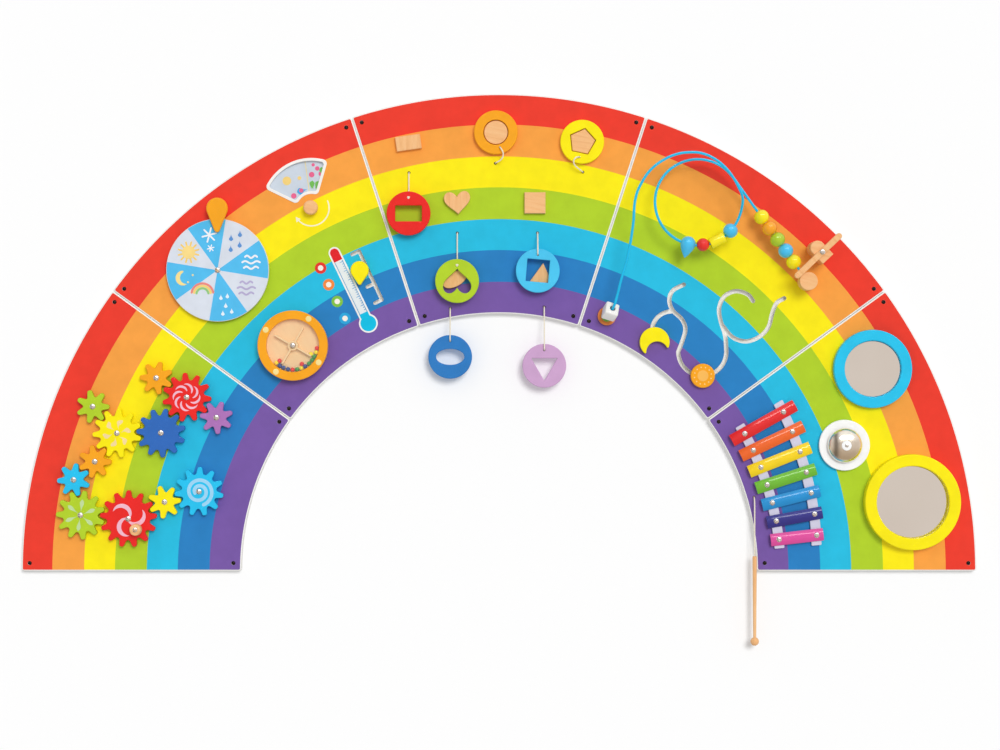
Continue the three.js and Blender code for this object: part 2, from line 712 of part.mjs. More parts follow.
weatherPanel = weatherPanel.add(moved(axle(DRUM_DEPTH), ...DRUM_SPOT));
addPiece('panel_weather', weatherPanel, ORANGE);

// Shape panel

function box(length, width) {
  const corners = [[-1, -1], [1, -1], [1, 1], [-1, 1]];
  return corners.map(([x, y]) => new THREE.Vector2((x * length) / 2, (y * width) / 2));
}

function heart(width, height) {
  const points = [];
  for (let i = 0; i < HEART_STEPS; i += 1) {
    const t = (2 * Math.PI * i) / HEART_STEPS;
    const x = Math.sign(Math.sin(t)) * Math.abs(Math.sin(t)) ** HEART_FULLNESS;
    const y = (13 * Math.cos(t) - 5 * Math.cos(2 * t) - 2 * Math.cos(3 * t) - Math.cos(4 * t) + 2.5) / 29;
    points.unshift(new THREE.Vector2((x * width) / 2, y * height));
  }
  return points;
}

function oval(long, short) {
  return circle(1, ROUND_SIDES).map((point) => new THREE.Vector2(point.x * long, point.y * short));
}

// Outline of each peg; with a margin, of the hole in its ring
const SHAPES = {
  rectangle: (margin) => box(RECT_LENGTH + 2 * margin, RECT_WIDTH + 2 * margin),
  disc: (margin) => circle(clearing(CIRCLE_RADIUS + margin, ROUND_SIDES), ROUND_SIDES),
  pentagon: (margin) => circle(PENTAGON_RADIUS + margin / Math.cos(Math.PI / 5), 5, [0, 0], 78),
  heart: (margin) => heart(HEART_WIDTH + HEART_GROWTH * margin, HEART_HEIGHT + HEART_GROWTH * margin),
  square: (margin) => box(SQUARE_SIDE + 2 * margin, SQUARE_SIDE + 2 * margin),
  oval: (margin) => oval(OVAL_LONG + margin, OVAL_SHORT + margin),
  triangle: (margin) => circle(TRIANGLE_SIDE / Math.sqrt(3) + 2 * margin, 3, [0, 0], 90),
};

const PEGS = [
  { shape: 'rectangle', place: spot(101.93, 0.818), turn: 8 },
  { shape: 'disc', place: spot(90.41, 0.8215), turn: 0 },
  { shape: 'pentagon', place: spot(79.05, 0.815), turn: 0 },
  { shape: 'heart', place: spot(96.44, 0.512), turn: 5 },
  { shape: 'square', place: spot(84.43, 0.51), turn: 0 },
  { shape: 'oval', place: spot(98.55, 0.171), turn: 30 },
  { shape: 'triangle', place: spot(81.76, 0.182), turn: -6 },
];

let shapePanel = board(2);
for (const peg of PEGS) {
  const solid = plate(SHAPES[peg.shape](0), FRONT - 1, FRONT + PEG_HEIGHT).rotate([0, 0, peg.turn]);
  shapePanel = shapePanel.add(moved(solid, ...peg.place));
}

function stringHole(place) {
  return pin(clearing(STRING_HOLE_RADIUS, STRING_SIDES), -1, FRONT + 1, STRING_SIDES, place);
}

// A ring whose string hole points the given way
function ring(shape, shapeTurn, holeAngle) {
  const turn = degToRad(shapeTurn);
  const hole = SHAPES[shape](RING_FIT).map((point) => point.rotateAround(new THREE.Vector2(), turn));
  const stringEye = circle(
    clearing(STRING_HOLE_RADIUS, STRING_SIDES),
    STRING_SIDES,
    polar(STRING_HOLE_OFFSET, holeAngle),
  );
  return plate(circle(RING_RADIUS, RING_SIDES), 0, RING_THICK, [hole, stringEye]);
}

// String from inside the board hole, down behind the ring and forward into its eye
function stringBehind(drop, ringBack) {
  const run = FRONT + STRING_BEND;
  const points = [[0, 0, FRONT - STRING_TAIL], [0, 0, FRONT - STRING_TAIL / 2]];
  for (const turn of [0, 45, 90]) {
    const [forward, down] = [Math.sin(degToRad(turn)), 1 - Math.cos(degToRad(turn))];
    points.push([0, -STRING_BEND * down, run - STRING_BEND + STRING_BEND * forward]);
  }
  for (const turn of [0, 45, 90]) {
    const [down, forward] = [Math.sin(degToRad(turn)), 1 - Math.cos(degToRad(turn))];
    points.push([0, -drop + STRING_BEND - STRING_BEND * down, run + STRING_BEND * forward]);
  }
  points.push([0, -drop, ringBack + RING_THICK - STRING_RADIUS]);
  return points;
}

// String from inside the board hole, down over the front of the ring and back into its eye
function stringInFront(drop, ringBack) {
  const front = ringBack + RING_THICK;
  const edge = RING_RADIUS - STRING_HOLE_OFFSET;
  const points = [
    [0, 0, FRONT - STRING_TAIL],
    [0, 0, FRONT - STRING_TAIL / 2],
    [0, 0, FRONT + 1],
    [0, -STRING_EXIT_DROP, FRONT + STRING_EXIT_RISE],
    [0, -drop + edge + STRING_BEND, front + STRING_RADIUS + 2 * RUN_GAP],
  ];
  for (const turn of [0, 30, 60, 90]) {
    const [back, down] = [1 - Math.cos(degToRad(turn)), Math.sin(degToRad(turn))];
    points.push([0, -drop + STRING_BEND * (1 - down), front - 1 + STRING_BEND * (1 - back)]);
  }
  points.push([0, -drop, ringBack + STRING_RADIUS]);
  return points;
}

const LEAN_BACK = FRONT + PEG_HEIGHT + RING_LEAN_GAP;
const HANG_BACK = FRONT + 1;
const HANGING_RINGS = [
  { name: 'red', colour: RED, shape: 'rectangle', turn: 0, hole: spot(102.73, 0.686), drop: 47.2,
    back: LEAN_BACK, route: stringBehind },
  { name: 'lime', colour: LIME, shape: 'heart', turn: 180, hole: spot(97.03, 0.378), drop: 60,
    back: LEAN_BACK, route: stringBehind },
  { name: 'sky', colour: SKY, shape: 'square', turn: -5, hole: spot(83.5, 0.377), drop: 41.5,
    back: LEAN_BACK, route: stringInFront },
  { name: 'blue', colour: BLUE, shape: 'oval', turn: 0, hole: spot(100.5, 0.0445), drop: 60.3,
    back: HANG_BACK, route: stringInFront },
  { name: 'purple', colour: PURPLE, shape: 'triangle', turn: 180, hole: spot(80.3, 0.0475), drop: 79,
    back: HANG_BACK, route: stringInFront },
];
for (const item of HANGING_RINGS) {
  const [x, y] = item.hole;
  shapePanel = shapePanel.subtract(stringHole(item.hole));
  const string = tube(item.route(item.drop, item.back), STRING_RADIUS, STRING_SIDES);
  addPiece(`string_${item.name}`, string, CREAM, [x, y, 0], 0, COTTON_ROUGHNESS);
  const centre = [x, y - item.drop - STRING_HOLE_OFFSET, item.back];
  addPiece(`ring_${item.name}`, ring(item.shape, item.turn, 90), item.colour, centre);
}

// Two rings sit on their pegs, with the slack string curled in front of them
const SEATED_RINGS = [
  { name: 'orange', colour: ORANGE, shape: 'disc', peg: PEGS[1], eye: -74.6, hole: spot(90.51, 0.684),
    curl: [[1, 0.3, 6], [6, 2.3, 11.5], [12, 7, 16], [14.3, 13.5, 19], [13, 20.5, 20.3]] },
  { name: 'yellow', colour: YELLOW, shape: 'pentagon', peg: PEGS[2], eye: -101, hole: spot(78.14, 0.683),
    curl: [[-1.5, 0.8, 6], [-8, 5, 12], [-15.5, 11.5, 17], [-17.5, 18.5, 20], [-13.5, 24.6, 21]] },
];
for (const item of SEATED_RINGS) {
  const [x, y] = item.hole;
  shapePanel = shapePanel.subtract(stringHole(item.hole));
  const back = FRONT + SEAT_GAP;
  const eye = polar(STRING_HOLE_OFFSET, item.eye, item.peg.place);
  const eyeShift = [eye[0] - x, eye[1] - y];
  const route = [
    [0, 0, STRING_RADIUS],
    [0, 0, FRONT / 2],
    [0, 0, FRONT + 1],
    ...item.curl.map(([right, up, out]) => [right, up, FRONT + out]),
    [...eyeShift, back + RING_THICK + STRING_EYE_RISE],
    [...eyeShift, back + STRING_RADIUS],
  ];
  const string = tube(route, STRING_RADIUS, STRING_SIDES);
  addPiece(`string_${item.name}`, string, CREAM, [x, y, 0], 0, COTTON_ROUGHNESS);
  const solid = ring(item.shape, item.peg.turn, item.eye);
  addPiece(`ring_${item.name}`, solid, item.colour, [...item.peg.place, back]);
}
addPiece('panel_shapes', shapePanel, YELLOW);

// Bead panel

const FOOT_SPOT = spot(67.1, 0.088);
const LOOP_SPOT = spot(61.78, 0.724);
const POST_SPOT = spot(43.36, 0.743);
const PROP_SPOT = spot(44.9, 0.874);
const SUN_ARC_SPOT = spot(47.2, 0.189);

let beadPanel = board(1);

// The wire leaves its foot, leans through the loose cube, climbs over the top, makes one turn round the
// loop and runs straight down into the side of the end post
const footTop = FOOT_DISC_HEIGHT + FOOT_BEAD_HEIGHT;
const cubeAxis = new THREE.Vector3(0, 0, 1)
  .applyAxisAngle(new THREE.Vector3(1, 0, 0), -degToRad(CUBE_TILT))
  .applyAxisAngle(new THREE.Vector3(0, 0, 1), -degToRad(CUBE_LEAN));
const wireFoot = new THREE.Vector3(...FOOT_SPOT, FRONT + footTop + WIRE_NECK);
const cubeTilt = degToRad(CUBE_TILT);
const cubeStart = FOOT_BEAD_RADIUS * Math.sin(cubeTilt) - WIRE_NECK * Math.cos(cubeTilt) + RUN_GAP;
const cubeReach = cubeStart + CUBE_SIDE;
const postShift = new THREE.Vector2(POST_SPOT[0] - LOOP_SPOT[0], POST_SPOT[1] - LOOP_SPOT[1]);
const exitAngle = THREE.MathUtils.radToDeg(postShift.angle() - 4 * Math.PI
  + Math.acos(WIRE_LOOP_RADIUS / postShift.length()));
const exitPoint = polar(WIRE_LOOP_RADIUS, exitAngle, LOOP_SPOT);
const rowWay = new THREE.Vector3(POST_SPOT[0] - exitPoint[0], POST_SPOT[1] - exitPoint[1], 0).normalize();

// Height of the wire above the board on its way round the loop, level where the loop pieces hang
function loopHeight(angle) {
  const fall = THREE.MathUtils.smoothstep(-angle, ...LOOP_FALL);
  const settle = THREE.MathUtils.smoothstep(-angle, ...LOOP_SETTLE);
  const level = WIRE_LOOP_HEIGHT + (WIRE_TOP_HEIGHT - LOOP_ENTRY_DROP - WIRE_LOOP_HEIGHT) * (1 - fall);
  return level - (WIRE_LOOP_HEIGHT - WIRE_EXIT_HEIGHT) * settle;
}

// Points of the wire: up from the foot, then over the top towards the loop, each from its own centre
const CUBE_SHARES = [0.2, 0.6, 1.15];
const WIRE_CLIMB = [[16.8, 38, 53], [22.8, 63.6, 59], [34.2, 104.8, 65], [43.8, 162.2, 70]];
const WIRE_OVER = [[-114.6, 8.8], [-103.8, 33.9], [-87.7, 56.4], [-64.7, 73.8], [-41.8, 83.7], [-18.8, 87.1],
  [4.1, 85.3], [27.1, 75.1], [45.6, 60.3], [59.6, 43.1], [70.1, 25]];
const ROW_SHARES = [0, 0.1, 0.3, 0.6, 0.9, 1];

function wirePoints() {
  const points = [];
  for (const sunk of [WIRE_SINK, WIRE_SINK / 2, 0]) {
    points.push(wireFoot.clone().setZ(FRONT + footTop - sunk));
  }
  for (const share of CUBE_SHARES) {
    points.push(wireFoot.clone().addScaledVector(cubeAxis, share * cubeReach));
  }
  for (const [right, up, out] of WIRE_CLIMB) {
    points.push(new THREE.Vector3(FOOT_SPOT[0] + right, FOOT_SPOT[1] + up, FRONT + out));
  }
  WIRE_OVER.forEach(([right, up], i) => {
    const sink = Math.max(0, i - WIRE_LEVEL_POINTS) * WIRE_LEVEL_SINK;
    points.push(new THREE.Vector3(LOOP_SPOT[0] + right, LOOP_SPOT[1] + up, FRONT + WIRE_TOP_HEIGHT - sink));
  });
  for (let angle = LOOP_START; angle > exitAngle + LOOP_STEP; angle -= LOOP_STEP) {
    const place = polar(WIRE_LOOP_RADIUS, angle, LOOP_SPOT);
    points.push(new THREE.Vector3(...place, FRONT + loopHeight(angle)));
  }
  const rowStart = new THREE.Vector3(...exitPoint, FRONT + WIRE_EXIT_HEIGHT);
  const rowEnd = new THREE.Vector3(...POST_SPOT, FRONT + WIRE_EXIT_HEIGHT)
    .addScaledVector(rowWay, -(POST_RADIUS - WIRE_SINK));
  for (const share of ROW_SHARES) points.push(rowStart.clone().lerp(rowEnd, share));
  return points;
}
addPiece('bead_wire', tube(wirePoints(), WIRE_RADIUS, WIRE_SIDES), SKY, [0, 0, 0], 0, ENAMEL_ROUGHNESS);

// Foot disc and foot bead, with the hole that the wire stands in
const footHole = clearing(WIRE_RADIUS + SEAT_GAP, WIRE_SIDES);
const footHoleEnd = FRONT + footTop - WIRE_SINK - SEAT_GAP;
const foot = pin(FOOT_DISC_RADIUS, FRONT - 1, FRONT + FOOT_DISC_HEIGHT, ROUND_SIDES, FOOT_SPOT)
  .add(pin(FOOT_BEAD_RADIUS, FRONT, FRONT + footTop, ROUND_SIDES / 2, FOOT_SPOT))
  .subtract(pin(footHole, footHoleEnd, FRONT + footTop + 1, WIRE_SIDES, FOOT_SPOT));
const postAngle = THREE.MathUtils.radToDeg(Math.atan2(rowWay.y, rowWay.x));
const postHole = pin(footHole, POST_RADIUS - WIRE_SINK - SEAT_GAP, POST_RADIUS + 2, WIRE_SIDES)
  .rotate([0, 90, postAngle + 180]);
const post = pin(POST_RADIUS, FRONT - 1, FRONT + POST_HEIGHT, ROUND_SIDES, POST_SPOT)
  .subtract(moved(postHole, ...POST_SPOT, FRONT + WIRE_EXIT_HEIGHT));
beadPanel = beadPanel.add(foot).add(post);

// A piece whose own z axis lies along the wire
function addOnWire(name, solid, colour, place, along, roll = 0) {
  const mesh = addPiece(name, solid, colour, place.toArray());
  const turn = new THREE.Quaternion().setFromUnitVectors(new THREE.Vector3(0, 0, 1), along);
  const spin = new THREE.Quaternion().setFromAxisAngle(new THREE.Vector3(0, 0, 1), roll);
  mesh.quaternion.copy(turn.multiply(spin));
}

const cubeCentre = wireFoot.clone().addScaledVector(cubeAxis, cubeStart + CUBE_SIDE / 2);
const cubeBore = circle(clearing(CUBE_BORE, SMALL_SIDES), SMALL_SIDES);
const cube = bevelledPlate(box(CUBE_SIDE, CUBE_SIDE), -CUBE_SIDE / 2, CUBE_SIDE / 2, CUBE_EDGE)
  .subtract(plate(cubeBore, -CUBE_SIDE, CUBE_SIDE));
addOnWire('wire_cube', cube, WHITE, cubeCentre, cubeAxis, degToRad(CUBE_ROLL));

// A round bead: part of an oval of revolution with a bore
function bead(radius, bulge, length, bore) {
  const half = length / 2;
  const profile = [];
  for (const share of [-1, -0.7, -0.25, 0.25, 0.7, 1]) {
    const height = share * half;
    profile.push([radius * Math.sqrt(1 - (height / bulge) ** 2), height]);
  }
  const inner = clearing(bore, SMALL_SIDES);
  return turned([[0, -half], ...profile, [0, half]], BEAD_SIDES)
    .subtract(pin(inner, -length, length, SMALL_SIDES));
}

const ROW_COLOURS = [YELLOW, BLUE, LIME, ORANGE, YELLOW];
for (let k = 0; k < ROW_BEADS; k += 1) {
  const place = new THREE.Vector3(...POST_SPOT, FRONT + WIRE_EXIT_HEIGHT)
    .addScaledVector(rowWay, -(ROW_START + k * (ROW_BEAD_LENGTH + RUN_GAP)));
  const solid = bead(ROW_BEAD_RADIUS, ROW_BEAD_BULGE, ROW_BEAD_LENGTH, WIRE_RADIUS + BEAD_FIT);
  addOnWire(`row_bead_${k + 1}`, solid, ROW_COLOURS[k % ROW_COLOURS.length], place, rowWay);
}

// The loop pieces hang side by side at the bottom of the loop
const loopBore = WIRE_RADIUS + LOOP_BEAD_FIT;
const ballLength = (radius) => 2 * Math.sqrt(radius * radius - (loopBore + 1) ** 2);
const ball = (radius) => bead(radius, radius, ballLength(radius), loopBore);
const cylinderHole = clearing(loopBore, SMALL_SIDES);
const cylinderBore = pin(cylinderHole, -LOOP_CYLINDER_LENGTH, LOOP_CYLINDER_LENGTH, SMALL_SIDES);
const cylinder = bevelledPlate(
  circle(LOOP_CYLINDER_RADIUS, BEAD_SIDES),
  -LOOP_CYLINDER_LENGTH / 2,
  LOOP_CYLINDER_LENGTH / 2,
  1,
).subtract(cylinderBore);
const dropBody = turned([
  [0, -DROP_LENGTH],
  [DROP_RADIUS * 0.3, -DROP_LENGTH * 0.82],
  [DROP_RADIUS * 0.78, -DROP_LENGTH * 0.42],
  [DROP_RADIUS, 0],
  [DROP_RADIUS * 0.84, DROP_RADIUS * 0.55],
  [DROP_RADIUS * 0.45, DROP_RADIUS * 0.9],
  [0, DROP_RADIUS],
], BEAD_SIDES).rotate([0, -90, 0]);
const dropBore = pin(clearing(loopBore, SMALL_SIDES), -2 * DROP_RADIUS, 2 * DROP_RADIUS, SMALL_SIDES);
const drop = dropBody.subtract(dropBore);
const LOOP_PIECES = [
  { name: 'loop_ball_blue', solid: ball(LOOP_BALL_RADIUS), colour: BLUE, angle: -42 },
  { name: 'loop_cylinder', solid: cylinder, colour: YELLOW, angle: -63.9 },
  { name: 'loop_ball_red', solid: ball(LOOP_SMALL_BALL_RADIUS), colour: RED, angle: -84 },
  { name: 'loop_drop', solid: drop, colour: BLUE, angle: -104 },
];
for (const item of LOOP_PIECES) {
  const place = polar(WIRE_LOOP_RADIUS - LOOP_BEAD_FIT / 3, item.angle, LOOP_SPOT);
  const mesh = addPiece(item.name, item.solid, item.colour, [...place, FRONT + WIRE_LOOP_HEIGHT]);
  mesh.rotateZ(degToRad(item.angle));
  mesh.rotateX(Math.PI / 2);
}

// Propeller blade on its block
const blockTop = FRONT + POST_HEIGHT + PROP_LIFT - RUN_GAP;
const blockOutline = [
  ...arc(BLOCK_WIDTH / 2, 90, 270, BLOCK_STEPS, [-BLOCK_ROUND_ARM, 0]),
  new THREE.Vector2(BLOCK_SQUARE_ARM, -BLOCK_WIDTH / 2),
  new THREE.Vector2(BLOCK_SQUARE_ARM, BLOCK_WIDTH / 2),
];
const propHead = blockTop + PROP_THICK + 2 * RUN_GAP;
const block = plate(blockOutline, FRONT + SEAT_GAP, blockTop)
  .add(pin(PROP_PIN_RADIUS, blockTop - 1, propHead + 1, SMALL_SIDES))
  .add(pin(PROP_SCREW_RADIUS, propHead, propHead + SCREW_HEAD_HEIGHT, SMALL_SIDES));
addPiece('propeller_block', block, WOOD, [...PROP_SPOT, 0], degToRad(PROP_ANGLE - 90));
const blade = plate(
  strip([-PROP_LONG_ARM + PROP_WIDTH / 2, 0], [PROP_SHORT_ARM - PROP_WIDTH / 2, 0], PROP_WIDTH / 2),
  0,
  PROP_THICK,
  [boreOf(PROP_PIN_RADIUS)],
);
addPiece('propeller', blade, WOOD, [...PROP_SPOT, blockTop + RUN_GAP], degToRad(PROP_ANGLE));

// Grooves: a bowl for the sun, an arm up each side of it, a branch on the right and a bow for the moon
function flatCurve(points, origin) {
  return new THREE.SplineCurve(points.map(([x, y]) => new THREE.Vector2(origin[0] + x, origin[1] + y)));
}
function bow(radius, from, to, centre) {
  const turn = [degToRad(from), degToRad(to)];
  return new THREE.EllipseCurve(...centre, radius, radius, ...turn, to < from);
}
const moonArcSpot = [SUN_ARC_SPOT[0] + MOON_ARC_SHIFT[0], SUN_ARC_SPOT[1] + MOON_ARC_SHIFT[1]];
const LEFT_ARM = [
  [-SUN_ARC_RADIUS, 0], [-36, 21], [-31, 42], [-38, 60], [-54, 75.5], [-60.5, 94], [-54, 112], [-34, 123],
];
const RIGHT_ARM = [
  [SUN_ARC_RADIUS, 0], [42, 29], [33, 59], [31, 81], [41, 102], [62, 111], [83, 105], [93, 93],
];
const RIGHT_BRANCH = [
  [36, 49], [55, 27], [79, 19], [104, 27], [121, 45], [128, 70], [136, 89], [150, 98],
];
const GROOVES = [
  bow(SUN_ARC_RADIUS, 180, 360, SUN_ARC_SPOT),
  flatCurve(LEFT_ARM, SUN_ARC_SPOT),
  flatCurve(RIGHT_ARM, SUN_ARC_SPOT),
  flatCurve(RIGHT_BRANCH, SUN_ARC_SPOT),
  bow(MOON_ARC_RADIUS, MOON_ARC_FROM + MOON_RUNOUT, MOON_ARC_TO, moonArcSpot),
];
for (const curve of GROOVES) {
  beadPanel = beadPanel.subtract(grooveCut((half) => ribbon(curve, half, GROOVE_STEPS), GROOVE_WIDTH));
}
addPiece('panel_beads', beadPanel, SKY);

const plateBottom = FRONT + SLIDER_GAP;
const sun = sliderStem(GROOVE_WIDTH)
  .add(pin(SUN_RADIUS, plateBottom, plateBottom + SLIDER_PLATE_THICK, ROUND_SIDES));
addPiece('sun_slider', sun, ORANGE, [...polar(SUN_ARC_RADIUS, 270, SUN_ARC_SPOT), 0]);

// The moon is a crescent with its stem under its thick side
const moonStem = polar(MOON_ARC_RADIUS, MOON_ARC_FROM, moonArcSpot);
const crescent = pin(MOON_RADIUS, plateBottom, plateBottom + SLIDER_PLATE_THICK, ROUND_SIDES)
  .subtract(pin(MOON_CUT_RADIUS, FRONT, FRONT + 2 * SLIDER_PLATE_THICK, ROUND_SIDES,
    polar(MOON_CUT_SHIFT, MOON_CUT_TURN)));
const moonThick = MOON_RADIUS + MOON_CUT_SHIFT - MOON_CUT_RADIUS;
const moonShift = polar(moonThick / 2, MOON_CUT_TURN);
const moon = sliderStem(GROOVE_WIDTH).add(moved(crescent, moonShift[0], moonShift[1]));
addPiece('moon_slider', moon, YELLOW, [...moonStem, 0]);

// Music panel

let musicPanel = board(0);

// Xylophone: arched bars across two rails
const railTop = FRONT + SEAT_GAP + RAIL_HEIGHT;
const barAngle = (k) => BAR_FIRST_ANGLE - k * BAR_ANGLE_STEP;
function railOutline(radiusAt) {
  const first = -RAIL_OVERHANG;
  const last = (BAR_COUNT - 1) * BAR_ANGLE_STEP + RAIL_OVERHANG;
  const outer = [];
  const inner = [];
  const steps = BAR_COUNT + 1;
  for (let i = 0; i <= steps; i += 1) {
    const along = first + ((last - first) * i) / steps;
    const radius = INNER_RADIUS + radiusAt(along / BAR_ANGLE_STEP);
    outer.push(new THREE.Vector2(...polar(radius + RAIL_WIDTH / 2, BAR_FIRST_ANGLE - along)));
    inner.unshift(new THREE.Vector2(...polar(radius - RAIL_WIDTH / 2, BAR_FIRST_ANGLE - along)));
  }
  return [...outer, ...inner];
}
let xylophone = plate(railOutline(() => RAIL_INNER), FRONT + SEAT_GAP, railTop);
const outerRailAt = (k) => RAIL_OUTER_FIRST - k * RAIL_OUTER_STEP;
const outerRail = plate(railOutline(outerRailAt), FRONT + SEAT_GAP, railTop);
const barSection = [
  new THREE.Vector2(-BAR_WIDTH / 2, 0),
  new THREE.Vector2(BAR_WIDTH / 2, 0),
  new THREE.Vector2(BAR_WIDTH / 2, BAR_SIDE_HEIGHT),
  new THREE.Vector2(BAR_WIDTH / 4, BAR_SHOULDER_HEIGHT),
  new THREE.Vector2(0, BAR_HEIGHT),
  new THREE.Vector2(-BAR_WIDTH / 4, BAR_SHOULDER_HEIGHT),
  new THREE.Vector2(-BAR_WIDTH / 2, BAR_SIDE_HEIGHT),
];
for (let k = 0; k < BAR_COUNT; k += 1) {
  const length = BAR_FIRST_LENGTH - k * BAR_LENGTH_STEP;
  const start = INNER_RADIUS + BAR_FIRST_INNER + k * BAR_INNER_STEP;
  const bar = plate(barSection, 0, length)
    .rotate([90, 0, 90])
    .translate([start, 0, railTop - SEAT_GAP])
    .rotate([0, 0, barAngle(k)]);
  xylophone = xylophone.add(bar);
}
addPiece('xylophone', xylophone.add(outerRail), LAVENDER, [0, 0, 0], 0, ENAMEL_ROUGHNESS);

// Bell: a thin dome held by its post on a round plate
const BELL_SPOT = spot(20.11, 0.498);
const bellBase = FRONT + SEAT_GAP;
const bellRim = bellBase + BELL_PLATE_THICK + BELL_LIFT;
const bellTop = bellRim + BELL_HEIGHT;
const bellRound = circle(BELL_PLATE_RADIUS, WIDE_SIDES);
const bellPlate = bevelledPlate(bellRound, bellBase, bellBase + BELL_PLATE_THICK, BELL_PLATE_EDGE)
  .add(pin(BELL_POST_RADIUS, bellBase + 1, bellTop - BELL_WALL - 3 * SEAT_GAP, SMALL_SIDES));
addPiece('bell_plate', bellPlate, WHITE, [...BELL_SPOT, 0]);
const domeSteps = [0, 20, 45, 70, 90];
const dome = (radius, height) => domeSteps.map((turn) => {
  return [radius * Math.cos(degToRad(turn)), bellRim + height * Math.sin(degToRad(turn))];
});
const bellProfile = [
  ...dome(BELL_RADIUS, BELL_HEIGHT),
  ...dome(BELL_RADIUS - BELL_WALL, BELL_HEIGHT - BELL_WALL).reverse(),
];
const bellNut = pin(BELL_NUT_RADIUS, bellTop - BELL_WALL / 2, bellTop + BELL_WALL, SMALL_SIDES);
addPiece('bell_dome', turned([...bellProfile, bellProfile[0]], ROUND_SIDES).add(bellNut), STEEL,
  [...BELL_SPOT, 0], 0, METAL_ROUGHNESS, 1);

// Mirrors: a rounded ring with a floor that carries the mirror plate
function mirrorRing(radius, opening, height) {
  const bottom = FRONT + SEAT_GAP;
  const top = bottom + height;
  return turned([
    [0, bottom],
    [radius, bottom],
    [radius, top - MIRROR_ROUND],
    [radius - MIRROR_EASE, top - MIRROR_EASE],
    [radius - MIRROR_ROUND, top],
    [opening + MIRROR_ROUND, top],
    [opening, top - MIRROR_ROUND],
    [opening, bottom + MIRROR_FLOOR],
    [0, bottom + MIRROR_FLOOR],
  ], WIDE_SIDES);
}
addPiece('mirror_small', mirrorRing(SMALL_MIRROR_RADIUS, SMALL_MIRROR_OPENING, SMALL_MIRROR_HEIGHT), BLUE,
  [...spot(28.5, 0.757), 0]);
addPiece('mirror_large', mirrorRing(LARGE_MIRROR_RADIUS, LARGE_MIRROR_OPENING, LARGE_MIRROR_HEIGHT), YELLOW,
  [...spot(9.59, 0.728), 0]);

// Mallet: a tapered stick with a ball, hanging on its string
const MALLET_SPOT = spot(16.2, 0.036);
musicPanel = musicPanel.subtract(stringHole(MALLET_SPOT));
addPiece('panel_music', musicPanel, YELLOW);
const malletString = [
  [0, 0, FRONT - STRING_TAIL],
  [0, 0, FRONT - STRING_TAIL / 2],
  [0, 0, FRONT + 1],
  [0, -STRING_EXIT_DROP, FRONT + STRING_BEND],
  [0, -MALLET_STRING_EASE, FRONT + MALLET_LIFT],
  [0, -MALLET_DROP / 2, FRONT + MALLET_LIFT],
  [0, -MALLET_DROP, FRONT + MALLET_LIFT],
];
const malletCord = tube(malletString, STRING_RADIUS, STRING_SIDES);
addPiece('mallet_string', malletCord, CREAM, [...MALLET_SPOT, 0], 0, COTTON_ROUGHNESS);
const stickEnd = -MALLET_STICK_LENGTH;
const malletBall = [-0.85, -0.45, 0, 0.45, 0.85].map((share) => {
  return [MALLET_BALL_RADIUS * Math.sqrt(1 - share * share), stickEnd + share * MALLET_BALL_RADIUS];
});
const neck = malletBall.at(-1)[1];
const mallet = turned([
  [0, stickEnd - MALLET_BALL_RADIUS],
  ...malletBall,
  [MALLET_STICK_END, neck + 1],
  [MALLET_STICK_TOP, -SEAT_GAP - 2],
  [MALLET_STICK_TOP - 1, -SEAT_GAP],
  [0, -SEAT_GAP],
], SMALL_SIDES).rotate([-90, 0, 0]);
addPiece('mallet', mallet, WOOD, [MALLET_SPOT[0], MALLET_SPOT[1] - MALLET_DROP, FRONT + MALLET_LIFT]);

export default arch;
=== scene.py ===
import json
import math

import bmesh
import bpy
from mathutils import Matrix, Vector


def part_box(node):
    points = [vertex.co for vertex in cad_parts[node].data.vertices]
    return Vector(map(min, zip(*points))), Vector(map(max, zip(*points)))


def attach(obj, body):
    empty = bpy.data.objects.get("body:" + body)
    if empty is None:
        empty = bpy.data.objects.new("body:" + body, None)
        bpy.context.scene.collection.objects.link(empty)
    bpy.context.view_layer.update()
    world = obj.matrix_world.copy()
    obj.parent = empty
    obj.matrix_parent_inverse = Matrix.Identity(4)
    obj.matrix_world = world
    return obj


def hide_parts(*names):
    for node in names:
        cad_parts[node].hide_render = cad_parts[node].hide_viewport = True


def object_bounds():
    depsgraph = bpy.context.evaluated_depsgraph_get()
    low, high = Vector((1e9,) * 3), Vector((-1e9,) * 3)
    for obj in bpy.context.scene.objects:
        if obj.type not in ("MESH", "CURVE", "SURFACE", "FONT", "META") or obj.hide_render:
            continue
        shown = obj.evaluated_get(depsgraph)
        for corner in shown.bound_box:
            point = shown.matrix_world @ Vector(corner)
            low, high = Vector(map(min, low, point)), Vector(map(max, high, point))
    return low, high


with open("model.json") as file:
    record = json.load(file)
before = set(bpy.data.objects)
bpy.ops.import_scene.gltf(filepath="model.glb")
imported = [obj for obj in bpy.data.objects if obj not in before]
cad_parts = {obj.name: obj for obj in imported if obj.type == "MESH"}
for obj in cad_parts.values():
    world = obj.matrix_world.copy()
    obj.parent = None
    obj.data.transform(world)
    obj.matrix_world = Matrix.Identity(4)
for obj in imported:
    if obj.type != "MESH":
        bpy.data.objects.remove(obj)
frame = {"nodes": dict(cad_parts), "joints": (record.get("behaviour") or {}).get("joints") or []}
cad_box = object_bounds()
scene = bpy.context.scene


# Camera. The picture is taken square on to the boards from four metres away, level with the middle of the
# arch, so each piece shows its front and only a little of its side.
MM = 0.001
VIEW_DISTANCE = 4000 * MM
VIEW_WIDTH = 1832 * MM
VIEW_PLACE = (1.8 * MM, -313.9 * MM)
FILM_WIDTH = 36
board_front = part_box("panel_music")[0].y


def show(name, data):
    """Puts a shape, a lamp or the camera into the scene, at the origin."""
    made = bpy.data.objects.new(name, data)
    scene.collection.objects.link(made)
    return made


